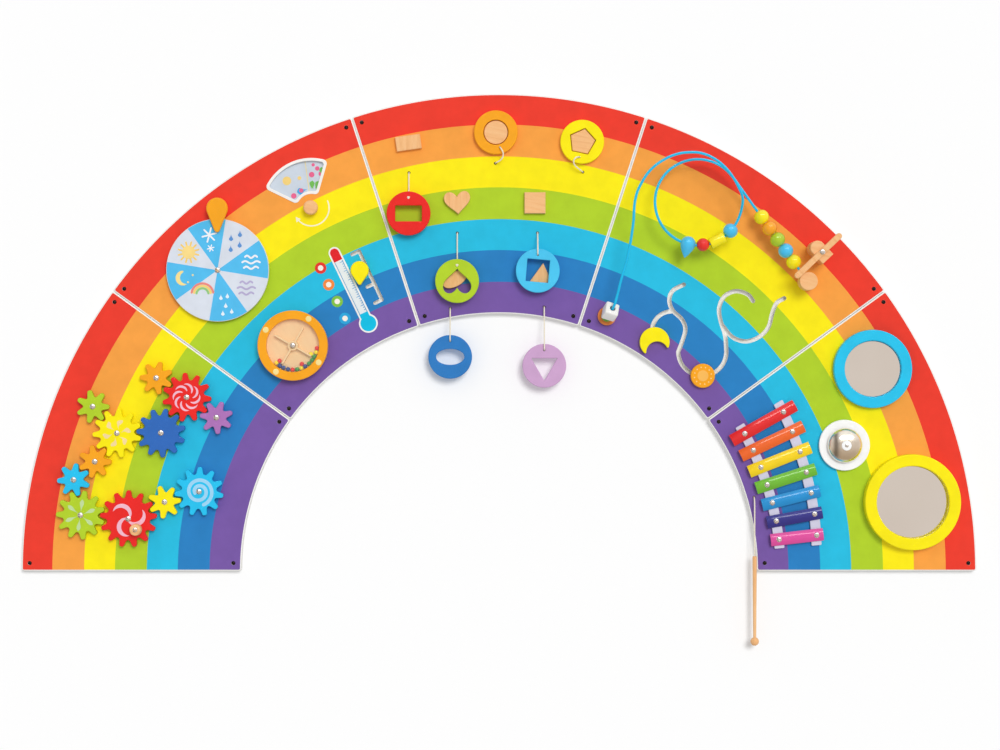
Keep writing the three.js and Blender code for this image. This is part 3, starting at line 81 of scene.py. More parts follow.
lens = bpy.data.cameras.new("camera")
lens.sensor_width = FILM_WIDTH
lens.lens = FILM_WIDTH * VIEW_DISTANCE / VIEW_WIDTH
camera = show("camera", lens)
camera.location = (VIEW_PLACE[0], board_front - VIEW_DISTANCE, VIEW_PLACE[1])
camera.rotation_euler = (math.radians(90), 0, 0)
scene.camera = camera
scene.view_settings.view_transform = "Standard"


# Wall and light. The arch hangs on a white wall. One broad lamp stands to the upper right in front, a weak
# one behind, and the room fills the shadows; polished pieces mirror a grey room with one pale window.
WALL_GAP = 2 * MM
WALL_REACH = 9.0
LAMPS = [("key_lamp", (-0.25, 1, -0.32), 1.5, 22), ("back_lamp", (0.3, -1, -0.5), 0.6, 60)]
WHITE_LIGHT = (1, 1, 1, 1)
ROOM_LEVEL = 0.55
ROOM_COLOURS = [(0.0, (0.42, 0.32, 0.22, 1)), (0.3, (0.55, 0.45, 0.35, 1)), (0.42, (0.68, 0.60, 0.53, 1)),
                (0.6, (0.68, 0.60, 0.53, 1)), (0.75, (0.95, 0.93, 0.9, 1)), (1.0, WHITE_LIGHT)]
CORNER_SHADES = [(0.1, (0, 0, 0, 1)), (0.3, (0.9, 0.9, 0.9, 1)), (0.45, (0.9, 0.9, 0.9, 1)),
                 (0.7, (0, 0, 0, 1))]
DARK_CORNER = (0.10, 0.08, 0.06, 1)
PANE_MIDDLE = (0.14, 0.55)
PANE_HALF = (0.42, 0.055)
PANE_EDGE = 0.03
PANE_LIGHT = (7.5, 7.5, 7.3, 1)


def add(tree, kind, inputs=None, **settings):
    """A shader node with its settings, and its inputs set or linked."""
    made = tree.nodes.new(kind)
    for key, value in settings.items():
        setattr(made, key, value)
    for key, value in (inputs or {}).items():
        if isinstance(value, bpy.types.NodeSocket):
            tree.links.new(value, made.inputs[key])
        else:
            made.inputs[key].default_value = value
    return made


def reckon(tree, operation, *values, **settings):
    """The result of one step of arithmetic."""
    return add(tree, "ShaderNodeMath", dict(enumerate(values)), operation=operation, **settings).outputs[0]


def spread(tree, value, low, high, start=0.0, end=1.0):
    """A value whose run from start to end is spread out from low to high."""
    ends = {"From Min": start, "From Max": end, "To Min": low, "To Max": high}
    return add(tree, "ShaderNodeMapRange", {"Value": value, **ends}).outputs[0]


def mixed(tree, share, first, second):
    """A colour between two others."""
    return add(tree, "ShaderNodeMix", {0: share, 6: first, 7: second}, data_type="RGBA").outputs[2]


def ramp(tree, factor, stops, interpolation="LINEAR"):
    """A colour for each stretch of the factor."""
    made = add(tree, "ShaderNodeValToRGB", {"Fac": factor})
    made.color_ramp.interpolation = interpolation
    elements = made.color_ramp.elements
    while len(elements) < len(stops):
        elements.new(1)
    for element, (position, colour) in zip(elements, stops):
        element.position = position
        element.color = colour
    return made.outputs["Color"]


def either(tree, share, first, second):
    """One shader, or another where the share is one."""
    return add(tree, "ShaderNodeMixShader", {0: share, 1: first, 2: second}).outputs[0]


def new_material(name):
    """A material that has no nodes yet, and its tree."""
    made = bpy.data.materials.new(name)
    made.use_nodes = True
    made.node_tree.nodes.clear()
    return made, made.node_tree


def meshed(bm, name="blank"):
    """A finished shape as a mesh."""
    mesh = bpy.data.meshes.new(name)
    bm.to_mesh(mesh)
    bm.free()
    return mesh


white_stage, tree = new_material("white_stage")
rays = add(tree, "ShaderNodeLightPath").outputs
seen = reckon(tree, "ADD", rays["Is Camera Ray"], rays["Is Glossy Ray"])
seen = reckon(tree, "ADD", seen, rays["Is Transmission Ray"])
behind = add(tree, "ShaderNodeNewGeometry").outputs["Backfacing"]
shown = reckon(tree, "SUBTRACT", seen, behind, use_clamp=True)
clear = add(tree, "ShaderNodeBsdfTransparent").outputs[0]
matt = add(tree, "ShaderNodeBsdfDiffuse", {"Color": WHITE_LIGHT}).outputs[0]
add(tree, "ShaderNodeOutputMaterial", {"Surface": either(tree, shown, clear, matt)})
bm = bmesh.new()
bmesh.ops.create_grid(bm, x_segments=2, y_segments=2, size=WALL_REACH)
stand = Matrix.Translation((0, WALL_GAP, 0)) @ Matrix.Rotation(math.radians(90), 4, "X")
bmesh.ops.transform(bm, matrix=stand, verts=bm.verts[:])
wall = show("wall", meshed(bm, "wall"))
wall.data.materials.append(white_stage)

for name, way, energy, breadth in LAMPS:
    light = bpy.data.lights.new(name, "SUN")
    light.energy = energy
    light.angle = math.radians(breadth)
    lamp = show(name, light)
    lamp.rotation_euler = Vector(way).to_track_quat("-Z", "Y").to_euler()
    lamp.visible_glossy = False

room = bpy.data.worlds.new("room")
room.use_nodes = True
tree = room.node_tree
tree.nodes.clear()
rays = add(tree, "ShaderNodeLightPath").outputs
way = add(tree, "ShaderNodeTexCoord").outputs["Generated"]
sides = add(tree, "ShaderNodeSeparateXYZ", {0: way}).outputs
corner = ramp(tree, spread(tree, sides["X"], 0.0, 1.0, -1.0, 0.0), CORNER_SHADES)
height = spread(tree, sides["Z"], 0.0, 1.0, -1.0, 1.0)
walls = mixed(tree, corner, ramp(tree, height, ROOM_COLOURS), DARK_CORNER)
pane = reckon(tree, "LESS_THAN", sides["Y"], 0.0)
for axis, centre, half in zip("XZ", PANE_MIDDLE, PANE_HALF):
    off = reckon(tree, "ABSOLUTE", reckon(tree, "SUBTRACT", sides[axis], centre))
    pane = reckon(tree, "MULTIPLY", pane, spread(tree, off, 0.0, 1.0, half + PANE_EDGE, half))
tone = mixed(tree, pane, walls, PANE_LIGHT)
shine, plain, white = [add(tree, "ShaderNodeBackground", {"Color": colour, "Strength": strength}).outputs[0]
                       for colour, strength in [(tone, 1.0), (WHITE_LIGHT, ROOM_LEVEL), (WHITE_LIGHT, 1.0)]]
mirrored = either(tree, rays["Is Glossy Ray"], plain, shine)
straight = reckon(tree, "ADD", rays["Is Camera Ray"], rays["Is Transmission Ray"])
add(tree, "ShaderNodeOutputWorld", {"Surface": either(tree, straight, mirrored, white)})
scene.world = room


# Boards. Five flat sectors of fibreboard hang edge to edge as a half ring. The front carries seven printed
# bands under a satin lacquer; the rounded edges, the cut slots and the back are bare and pale.
BOARD_NAMES = ["panel_music", "panel_beads", "panel_shapes", "panel_weather", "panel_gears"]
BOARD_ANGLE = 36
BOARD_OUTER = cad_box[1].x
BOARD_INNER = 472 * MM
BOARD_GAP = 0.6 * MM
ARCH_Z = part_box("panel_shapes")[1].z - BOARD_OUTER
ARCH = Vector((0, 0, ARCH_Z))
EDGE_ROUND = 3 * MM
CORNER_ROUND = 5 * MM
SHARP_TURN = 0.6
SCREW_INSET = 15 * MM
WALL_HOLE = 2.6 * MM
WALL_SINK = 3.9 * MM
SINK_DEPTH = -6 * MM
STRING_HOLE = 2.4 * MM
SLOT_FLOOR = -3 * MM
CHANNEL_ROOF = -8 * MM
CHANNEL_LIP = 3 * MM
THROUGH = 1 * MM
CUT_STEP = 0.02 * MM
PRINT_SKIN = 0.3 * MM
FACE_MARGIN = 0.1 * MM
MERGE = 0.001 * MM


def ink(red, green, blue):
    """A colour named by its screen values, as the shaders take it."""
    shares = [value / 255 for value in (red, green, blue)]
    return tuple(s / 12.92 if s < 0.04045 else ((s + 0.055) / 1.055) ** 2.4 for s in shares) + (1,)


BAND_COLOURS = [ink(121, 90, 167), ink(42, 130, 197), ink(40, 192, 229), ink(180, 212, 44),
                ink(255, 238, 20), ink(250, 164, 70), ink(239, 62, 46)]
BARE_COLOUR = ink(252, 251, 248)
FIBRE_COLOUR = ink(240, 237, 230)
RUBBED_COLOUR = (0.9, 0.85, 0.76, 1)


def along(start, angle, length):
    """The place a length away from a start, in a direction in degrees anticlockwise from the right."""
    turn = math.radians(angle)
    return start + Vector((length * math.cos(turn), 0, length * math.sin(turn)))


def heading(angle):
    """A direction in the boards' plane."""
    return along(Vector(), angle, 1)


def beside(way):
    """The direction to the left of a way in the boards' plane."""
    return Vector((-way.z, 0, way.x))


def bearing(start, end):
    """The angle in degrees of the way from a start to an end."""
    return math.degrees(math.atan2(end.z - start.z, end.x - start.x))


def around(centre, radius, first=0.0, last=360.0, steps=64):
    """Points on a circle or an arc, anticlockwise as seen from the front."""
    count = steps if last - first == 360 else steps + 1
    return [along(centre, first + (last - first) * i / steps, radius) for i in range(count)]


def spot(angle, across):
    """A place on the arch: degrees from the right-hand end, share of the width from the inner edge."""
    return along(ARCH, angle, BOARD_INNER + across * (BOARD_OUTER - BOARD_INNER))


def capsule(start, end, half, steps=10):
    """A straight strip with round ends."""
    way = bearing(start, end)
    return around(end, half, way - 90, way + 90, steps) + around(start, half, way + 90, way + 270, steps)


def ease(bm, parts, offset, segments, affect="EDGES"):
    """Rounds edges or corners over."""
    bmesh.ops.bevel(bm, geom=parts, offset=offset, affect=affect, segments=segments, profile=0.5, material=-1)


def draw_out(bm, way):
    """Makes a flat face a solid by drawing it out along a way."""
    grown = bmesh.ops.extrude_face_region(bm, geom=bm.faces[:])["geom"]
    bmesh.ops.translate(bm, verts=[v for v in grown if isinstance(v, bmesh.types.BMVert)], vec=way)
    bmesh.ops.recalc_face_normals(bm, faces=bm.faces[:])


def ease_ends(bm, way, offset, segments):
    """Rounds the edges over of the two faces that a solid was drawn out between."""
    rims = [e for e in bm.edges if sum(abs(f.normal.dot(way)) > 0.9 for f in e.link_faces) == 1]
    ease(bm, rims, offset, segments)


def plate(rim, back, front, rounding=0.0, hole=None, corners=0.0, segments=3):
    """A sheet sawn to its rim, and to a hole if it has one, with its edges rounded over on both faces."""
    bm = bmesh.new()
    bm.faces.new([bm.verts.new((p.x, back, p.z)) for p in rim])
    if corners:
        ease(bm, [v for v in bm.verts if v.calc_edge_angle() > SHARP_TURN], corners, 5, "VERTICES")
    draw_out(bm, (0, front - back, 0))
    if hole:
        bm = cut(bm, [plate(hole, back + THROUGH, front - THROUGH)])
    if rounding:
        ease_ends(bm, Vector((0, 1, 0)), rounding, segments)
    return bm


def cut(bm, cutters):
    """Takes each cutter's volume out of a solid."""
    made = [show("blank", meshed(shape)) for shape in [bm] + cutters]
    for tool in made[1:]:
        saw = made[0].modifiers.new("cut", "BOOLEAN")
        saw.object = tool
        saw.solver = "EXACT"
    result = bmesh.new()
    result.from_object(made[0], bpy.context.evaluated_depsgraph_get())
    for solid in made:
        bpy.data.objects.remove(solid)
    return result


def joined(*shapes):
    """Several shapes as one mesh."""
    whole = bmesh.new()
    for shape in shapes:
        scrap = meshed(shape)
        whole.from_mesh(scrap)
        bpy.data.meshes.remove(scrap)
    return whole


def piece(name, bm, material, slot, *nodes, body="boards"):
    """Makes the shape an object that rides on its body, and stands for the CAD nodes that it names."""
    mesh = meshed(bm, name)
    mesh.set_sharp_from_angle(angle=math.radians(50))
    for face in mesh.polygons:
        face.use_smooth = abs(face.normal.y) < 0.9999
    mesh.materials.append(material)
    made = show(name, mesh)
    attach(made, body)
    if nodes:
        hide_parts(*nodes)


def on_piece(tree):
    """The place on a piece, which its pattern is laid out by."""
    return add(tree, "ShaderNodeTexCoord").outputs["Object"]


def mapped(tree, vector, **change):
    """A pattern's places, stretched or turned."""
    return add(tree, "ShaderNodeMapping", {"Vector": vector, **change}).outputs[0]


def noise(tree, vector, scale, detail, **more):
    """A cloudy pattern of values."""
    inputs = {"Vector": vector, "Scale": scale, "Detail": detail, **more}
    return add(tree, "ShaderNodeTexNoise", inputs).outputs["Fac"]


def tinted(tree, colour, factor):
    """A colour made lighter or darker."""
    return add(tree, "ShaderNodeVectorMath", {0: colour, "Scale": factor}, operation="SCALE").outputs[0]


def finish_group(name, **inputs):
    """A new group that gives the colour, roughness and relief of a finish, and the inputs that it takes."""
    group = bpy.data.node_groups.new(name, "ShaderNodeTree")
    sockets = [("INPUT", key, kind) for key, kind in inputs.items()]
    sockets += [("OUTPUT", "Color", "Color"), ("OUTPUT", "Roughness", "Float"), ("OUTPUT", "Height", "Float")]
    for side, key, kind in sockets:
        group.interface.new_socket(key, in_out=side, socket_type="NodeSocket" + kind)
    return group, group.nodes.new("NodeGroupInput").outputs


def finish(tree, group, **inputs):
    """The colour, roughness and relief that a group gives for these inputs."""
    made = add(tree, "ShaderNodeGroup", inputs, node_tree=group).outputs
    return made["Color"], made["Roughness"], made["Height"]


def surface(colour, roughness, height, relief=0.12, depth=0.2 * MM, **constants):
    """Ends a material's nodes with a shader of this colour, roughness and relief, and plain values."""
    tree = colour.id_data
    bump = add(tree, "ShaderNodeBump", {"Height": height, "Strength": relief, "Distance": depth})
    links = {"Base Color": colour, "Roughness": roughness, "Normal": bump.outputs[0]}
    links.update({key.replace("_", " "): value for key, value in constants.items()})
    shader = add(tree, "ShaderNodeBsdfPrincipled", links)
    add(tree, "ShaderNodeOutputMaterial", {"Surface": shader.outputs[0]})


# A thin film of paint or ink over wood: brushed, a little cloudy, and rubbed through in specks.
paint_film, given = finish_group("paint_film", Color="Color", Wear="Float")
place = on_piece(paint_film)
cloud = noise(paint_film, place, 38.0, 3.0)
brush = noise(paint_film, mapped(paint_film, place, Scale=(260, 260, 40)), 1.0, 4.0)
speck = noise(paint_film, place, 1600.0, 2.0)
shade = tinted(paint_film, given["Color"], spread(paint_film, cloud, 0.95, 1.03, 0.3, 0.7))
rubbed = reckon(paint_film, "MULTIPLY", spread(paint_film, speck, 0.0, 0.25, 0.62, 0.8), given["Wear"])
worn = mixed(paint_film, rubbed, shade, RUBBED_COLOUR)
gloss = spread(paint_film, brush, 0.28, 0.44, 0.3, 0.7)
relief = reckon(paint_film, "MULTIPLY_ADD", speck, 0.35, brush)
add(paint_film, "NodeGroupOutput", {"Color": worn, "Roughness": gloss, "Height": relief})


def painted(name, colour, wear=0.6, relief=0.12, gloss=0.0):
    """Satin paint or ink, with a clear gloss coat where it is asked for."""
    made, tree = new_material(name)
    surface(*finish(tree, paint_film, Color=colour, Wear=wear), relief, Specular_IOR_Level=0.25,
            Coat_Weight=gloss, Coat_Roughness=0.06)
    return made


def above(tree, vector, level):
    """One where a surface lies on or before a level towards the front, nought behind it."""
    depth = add(tree, "ShaderNodeSeparateXYZ", {0: vector}).outputs["Y"]
    return reckon(tree, "LESS_THAN", depth, level + FACE_MARGIN)


printed_board, tree = new_material("printed_board")
place = on_piece(tree)
from_arch = add(tree, "ShaderNodeVectorMath", {0: place, 1: ARCH}, operation="SUBTRACT").outputs[0]
flat = add(tree, "ShaderNodeVectorMath", {0: from_arch, 1: (1, 0, 1)}, operation="MULTIPLY").outputs[0]
reach = add(tree, "ShaderNodeVectorMath", {0: flat}, operation="LENGTH").outputs["Value"]
share = spread(tree, reach, 0.0, 1.0, BOARD_INNER, BOARD_OUTER)
bands = ramp(tree, share, [(k / len(BAND_COLOURS), band) for k, band in enumerate(BAND_COLOURS)], "CONSTANT")
print_colour, print_gloss, relief = finish(tree, paint_film, Color=bands, Wear=0.0)
bare = ramp(tree, noise(tree, place, 900.0, 4.0), [(0.35, FIBRE_COLOUR), (0.6, BARE_COLOUR)])
front_face = above(tree, place, board_front)
gloss = add(tree, "ShaderNodeMix", {0: front_face, 2: 0.7, 3: print_gloss}).outputs[0]
surface(mixed(tree, front_face, bare, print_colour), gloss, relief, 0.06, Specular_IOR_Level=0.2)

# Places where the boards are drilled for strings.
STRING_SPOTS = {
    "red": spot(102.73, 0.686), "lime": spot(97.03, 0.378), "sky": spot(83.5, 0.377),
    "blue": spot(100.5, 0.0445), "purple": spot(80.3, 0.0475), "orange": spot(90.51, 0.684),
    "yellow": spot(78.14, 0.683), "mallet": spot(16.2, 0.036),
}


def drill(place, radius, back=THROUGH, front=board_front - THROUGH, steps=26):
    """A round cutter from behind the board to before its face, or between two depths."""
    return plate(around(place, radius, steps=steps), back, front)


def slider_slot(outline, half, k):
    """Slot for a stem and the wider channel for its foot behind it. No two of a board's are quite as deep."""
    step = k * CUT_STEP
    slot = plate(outline(half), CHANNEL_ROOF + THROUGH + step, board_front - THROUGH - step)
    channel = plate(outline(half + CHANNEL_LIP), SLOT_FLOOR + step, CHANNEL_ROOF - step)
    return [slot, channel]


# The thermometer's slot is a straight run with four notches; the season window is a fan with a pocket behind.
THERMO_TOP = spot(113.62, 0.417)
THERMO_TILT = -64.8
THERMO_RUN = 98.4 * MM
THERMO_NOTCH = 14 * MM
THERMO_HALF = 3.35 * MM
NOTCHES = 4
SEASON_SPOT = spot(117.33, 0.687)
WINDOW_INNER = 31 * MM
WINDOW_OUTER = 87 * MM
WINDOW_FROM = 74
WINDOW_TO = 154
WINDOW_CORNER = 5 * MM
POCKET_RADIUS = 99 * MM
POCKET_ROOF = -9 * MM
SHAFT_HOLE = 4.6 * MM


def fan_outline(grow, corner):
    """The window's fan with round corners, wider all round by a margin."""
    far, near = WINDOW_OUTER + grow - corner, WINDOW_INNER - grow + corner
    far_ease = math.degrees(math.asin((corner - grow) / far))
    near_ease = math.degrees(math.asin((corner - grow) / near))
    ends = [WINDOW_FROM + far_ease, WINDOW_TO - far_ease, WINDOW_TO - near_ease, WINDOW_FROM + near_ease]
    return (around(SEASON_SPOT, far + corner, ends[0], ends[1], 32)[1:-1]
            + around(along(SEASON_SPOT, ends[1], far), corner, ends[1], WINDOW_TO + 90, 8)
            + around(along(SEASON_SPOT, ends[2], near), corner, WINDOW_TO + 90, ends[2] + 180, 8)
            + around(SEASON_SPOT, near - corner, ends[3], ends[2], 16)[::-1][1:-1]
            + around(along(SEASON_SPOT, ends[3], near), corner, ends[3] + 180, WINDOW_FROM + 270, 8)
            + around(along(SEASON_SPOT, ends[0], far), corner, WINDOW_FROM + 270, ends[0] + 360, 8))


thermo_end = along(THERMO_TOP, THERMO_TILT, THERMO_RUN)
weather_cuts = slider_slot(lambda half: capsule(THERMO_TOP, thermo_end, half), THERMO_HALF, NOTCHES)
for k in range(NOTCHES):
    mouth = along(THERMO_TOP, THERMO_TILT, THERMO_RUN * k / (NOTCHES - 1))
    end = along(mouth, THERMO_TILT - 90, THERMO_NOTCH)
    weather_cuts += slider_slot(lambda half: capsule(mouth, end, half), THERMO_HALF - (k + 1) * CUT_STEP, k)
weather_cuts += [plate(around(SEASON_SPOT, POCKET_RADIUS), THROUGH, POCKET_ROOF),
                 plate(fan_outline(0, WINDOW_CORNER), POCKET_ROOF + THROUGH, board_front - THROUGH),
                 plate(around(SEASON_SPOT, SHAFT_HOLE), POCKET_ROOF + 2 * THROUGH, board_front - 2 * THROUGH)]

# Slots for the sun and the moon: a bowl, an arm up each side of it, a branch on the right and a bow.
SUN_ARC = spot(47.2, 0.189)
SUN_ARC_RADIUS = 44 * MM
MOON_ARC = SUN_ARC + Vector((-56 * MM, 0, 38 * MM))
MOON_ARC_RADIUS = 36 * MM
GROOVE_HALF = 3.9 * MM
GROOVE_LINES = [
    [(-44, 0), (-36, 21), (-31, 42), (-38, 60), (-54, 75.5), (-60.5, 94), (-54, 112), (-34, 123)],
    [(44, 0), (42, 29), (33, 59), (31, 81), (41, 102), (62, 111), (83, 105), (93, 93)],
    [(36, 49), (55, 27), (79, 19), (104, 27), (121, 45), (128, 70), (136, 89), (150, 98)],
]


def flowing(points, steps=6):
    """A smooth line through points."""
    ends = [points[0] * 2 - points[1]] + points + [points[-1] * 2 - points[-2]]
    line = []
    for a, b, c, d in zip(ends, ends[1:], ends[2:], ends[3:]):
        for i in range(steps):
            t = i / steps
            line.append(0.5 * (2 * b + (c - a) * t + (2 * a - 5 * b + 4 * c - d) * t ** 2
                               + (3 * b - a - 3 * c + d) * t ** 3))
    return line + [points[-1]]


def ribbon(line, half):
    """A strip of even width along a line in the boards' plane, with round ends."""
    sides = ([], [])
    for i, point in enumerate(line):
        way = (line[min(i + 1, len(line) - 1)] - line[max(i - 1, 0)]).normalized()
        sides[0].append(point - beside(way) * half)
        sides[1].append(point + beside(way) * half)
    first, last = bearing(line[1], line[0]), bearing(line[-2], line[-1])
    end_cap = around(line[-1], half, last - 90, last + 90, 10)[1:-1]
    start_cap = around(line[0], half, first - 90, first + 90, 10)[1:-1]
    return sides[0] + end_cap + sides[1][::-1] + start_cap


grooves = [around(SUN_ARC, SUN_ARC_RADIUS, 180, 359.99, 40), around(MOON_ARC, MOON_ARC_RADIUS, 84, 195, 30)]
grooves += [flowing([SUN_ARC + Vector((x * MM, 0, z * MM)) for x, z in line]) for line in GROOVE_LINES]
bead_cuts = []
for k, line in enumerate(grooves):
    bead_cuts += slider_slot(lambda half: ribbon(line, half), GROOVE_HALF, k)

board_cuts = {"panel_weather": weather_cuts, "panel_beads": bead_cuts, "panel_gears": [],
              "panel_shapes": [drill(p, STRING_HOLE) for n, p in STRING_SPOTS.items() if n != "mallet"],
              "panel_music": [drill(STRING_SPOTS["mallet"], STRING_HOLE)]}
wall_screw_spots = []
for index, name in enumerate(BOARD_NAMES):
    first = BOARD_ANGLE * index
    last = first + BOARD_ANGLE
    rim = []
    for radius, order in [(BOARD_OUTER, 1), (BOARD_INNER, -1)]:
        trim = math.degrees(math.asin(BOARD_GAP / 2 / radius))
        rim += around(ARCH, radius, first + trim, last - trim, 48)[::order]
    corner_spots = []
    for radius in (BOARD_INNER + SCREW_INSET, BOARD_OUTER - SCREW_INSET):
        inset = math.degrees(math.asin(SCREW_INSET / radius))
        corner_spots += [along(ARCH, first + inset, radius), along(ARCH, last - inset, radius)]
    holes = [drill(place, WALL_SINK, SINK_DEPTH) for place in corner_spots]
    holes += [drill(place, WALL_HOLE, front=SINK_DEPTH - THROUGH) for place in corner_spots]
    blank = plate(rim, 0, board_front, EDGE_ROUND, corners=CORNER_ROUND, segments=4)
    board = cut(blank, holes + board_cuts[name])
    piece(name.replace("panel", "board"), board, printed_board, "printed_board", name)
    wall_screw_spots += corner_spots


# Screws. Dark oxide screws sit in the boards' corners, and bright pan heads with a cross slot hold every
# turning piece on its wooden bush.
WALL_SCREW_RADIUS = 3.7 * MM
WALL_SCREW_DEPTH = 2.6 * MM
SCREW_RADIUS = 5.4 * MM
SCREW_SEAT = 0.4 * MM
DOME_SHARE = 0.42
DOME_TURNS = (0.35, 0.7, 1.05, 1.35)
NECK_SHARE = 0.8
CROSS_TURNS = (20, 110)
CROSS_REACH = 0.55
CROSS_HALF = 0.13
DARK_STEEL = (0.05, 0.042, 0.04, 1)
BRIGHT_STEEL = (0.90, 0.90, 0.91, 1)


def turned(profile, place, axis=(0, -1, 0), steps=48):
    """A piece turned on the lathe: pairs of radius and height, spun about an axis that starts at a place."""
    bm = bmesh.new()
    points = [bm.verts.new((radius, 0, height)) for radius, height in profile]
    edges = [bm.edges.new(pair) for pair in zip(points, points[1:])]
    bmesh.ops.spin(bm, geom=points + edges, cent=(0, 0, 0), axis=(0, 0, 1), angle=2 * math.pi, steps=steps,
                   use_merge=True)
    bmesh.ops.remove_doubles(bm, verts=bm.verts[:], dist=MERGE)
    bmesh.ops.recalc_face_normals(bm, faces=bm.faces[:])
    stand = Vector((0, 0, 1)).rotation_difference(Vector(axis)).to_matrix().to_4x4()
    bmesh.ops.transform(bm, matrix=Matrix.Translation(place) @ stand, verts=bm.verts[:])
    return bm


def softened(points, rounds=2, closed=True):
    """Corners of an outline cut back again and again until they are round."""
    for _ in range(rounds):
        trimmed = []
        for a, b in zip(points, points[1:] + points[:1] if closed else points[1:]):
            trimmed += [a * 0.75 + b * 0.25, a * 0.25 + b * 0.75]
        points = trimmed if closed else [points[0]] + trimmed[1:-1] + [points[-1]]
    return points


def sized(*pairs):
    """A turner's profile that is given in millimetres."""
    return [(radius * MM, height * MM) for radius, height in pairs]


def rounded(pairs, rounds=2):
    """A turner's profile with its corners eased."""
    return [(p.x, p.y) for p in softened([Vector(pair) for pair in pairs], rounds, closed=False)]


def out(place, height):
    """A place lifted off the boards' front."""
    return Vector((place.x, board_front - height, place.z))


def screw_head(radius, place):
    """A low dome with a cross slot."""
    height = DOME_SHARE * radius
    neck = NECK_SHARE * radius
    profile = [(0, -height), (neck, -height), (neck, 0), (radius, 0)]
    profile += [(radius * math.cos(t), height * math.sin(t)) for t in DOME_TURNS] + [(0, height)]
    slots = []
    for turn in CROSS_TURNS:
        reach = along(Vector(), turn, CROSS_REACH * radius)
        slot = capsule(place - reach, place + reach, CROSS_HALF * radius, 4)
        slots.append(plate(slot, place.y - 0.1 * height, place.y - 2 * height))
    return cut(turned(profile, place, steps=28), slots)


def metal(name, colour, low, high, relief=0.05):
    """Turned or drawn metal with fine lines."""
    made, tree = new_material(name)
    brushed = noise(tree, mapped(tree, on_piece(tree), Scale=(1400, 1400, 240)), 1.0, 3.0)
    shade = tinted(tree, colour[:3], spread(tree, brushed, 0.88, 1.04, 0.3, 0.7))
    surface(shade, spread(tree, brushed, low, high), brushed, relief, 0.05 * MM, Metallic=1.0)
    return made


dark_steel = metal("dark_steel", DARK_STEEL, 0.3, 0.5)
bright_steel = metal("bright_steel", BRIGHT_STEEL, 0.18, 0.34)
wall_screws = [screw_head(WALL_SCREW_RADIUS, out(place, -WALL_SCREW_DEPTH)) for place in wall_screw_spots]
piece("wall_screws", joined(*wall_screws), dark_steel, "bell_nickel")


# Natural beech. Knobs, bushes, pegs and the mallet are turned or sawn from beech and left bare. The wood is
# pale and even, with short dark flecks along the grain.
BEECH_PALE = ink(250, 200, 146)
BEECH_MAIN = ink(245, 188, 130)
BEECH_DARK = ink(228, 164, 106)
BEECH_BLEACHED = ink(248, 222, 170)

beech_grain, given = finish_group("beech_grain", Vector="Vector")
wide = mapped(beech_grain, given["Vector"], Scale=(160, 160, 14))
rings = noise(beech_grain, wide, 1.0, 4.0, Distortion=0.6)
flecks = noise(beech_grain, mapped(beech_grain, given["Vector"], Scale=(1700, 1700, 190)), 1.0, 1.0)
tone = ramp(beech_grain, rings, [(0.15, BEECH_DARK), (0.45, BEECH_MAIN), (0.8, BEECH_PALE)])
wood = mixed(beech_grain, spread(beech_grain, flecks, 0.0, 0.45, 0.62, 0.75), tone, BEECH_DARK)
gloss = spread(beech_grain, flecks, 0.42, 0.62)
add(beech_grain, "NodeGroupOutput", {"Color": wood, "Roughness": gloss, "Height": rings})


def beech(name, turn, bleach=0.0):
    """Bare beech with its grain turned in the boards' plane, and paler where it is bleached."""
    made, tree = new_material(name)
    lie = mapped(tree, on_piece(tree), Rotation=(0, math.radians(turn), 0))
    wood, gloss, relief = finish(tree, beech_grain, Vector=lie)
    surface(mixed(tree, bleach, wood, BEECH_BLEACHED), gloss, relief, 0.06, Specular_IOR_Level=0.25)
    return made


beech_upright = beech("beech_upright", 0)
beech_level = beech("beech_level", 78)


# Gears. Twelve wheels sawn from birch ply with round-ended finger teeth, painted all over; five of them carry
# a printed ornament. Each turns on a bush below a screw.
GEAR_MODULE = 7.3 * MM
GEAR_BACK = 5 * MM
GEAR_THICK = 10 * MM
GEAR_ROUND = 1.3 * MM
AXLE_BORE = 5.5 * MM
TOOTH = [(-1.22, -0.86), (-0.1, -0.67), (0.64, -0.46), (0.64, 0.46), (-0.1, 0.67), (-1.22, 0.86)]
TIP_MARGIN = 0.2 * MM
INK_STEP = 0.012 * MM
INK_WEAR = 0.2
INK_RELIEF = 0.04
BLUNT = 0.04
BUSH = sized((0, 0), (9, 0), (9, 4.5), (5, 4.5), (5, 15), (0, 15))
PAINTS = {"red": ink(238, 40, 36), "orange": ink(251, 168, 28), "yellow": ink(255, 238, 6),
          "lime": ink(181, 212, 42), "sky": ink(36, 196, 242), "blue": ink(48, 106, 188),
          "purple": ink(176, 116, 186), "white": ink(248, 246, 242)}
PALE_PINK = ink(245, 190, 208)
PALE_GREEN = ink(196, 222, 160)
PALE_BLUE = ink(160, 216, 246)
CREAM = ink(248, 222, 160)
GEARS = {"crank": (13, "red"), "lime_large": (11, "lime"), "yellow_small": (7, "yellow"),
         "sky_large": (11, "sky"), "sky_small": (7, "sky"), "orange_low": (7, "orange"),
         "yellow_large": (11, "yellow"), "lime_small": (7, "lime"), "blue_large": (11, "blue"),
         "red_large": (11, "red"), "orange_high": (7, "orange"), "purple_small": (7, "purple")}
satin = {name: painted(name + "_paint", colour) for name, colour in PAINTS.items()}


def pivot(joint):
    """The place in the boards' plane where a joint turns."""
    found = next(j for j in frame["joints"] if j["name"] == joint)
    return Vector((found["pos_m"][0], 0, found["pos_m"][2]))


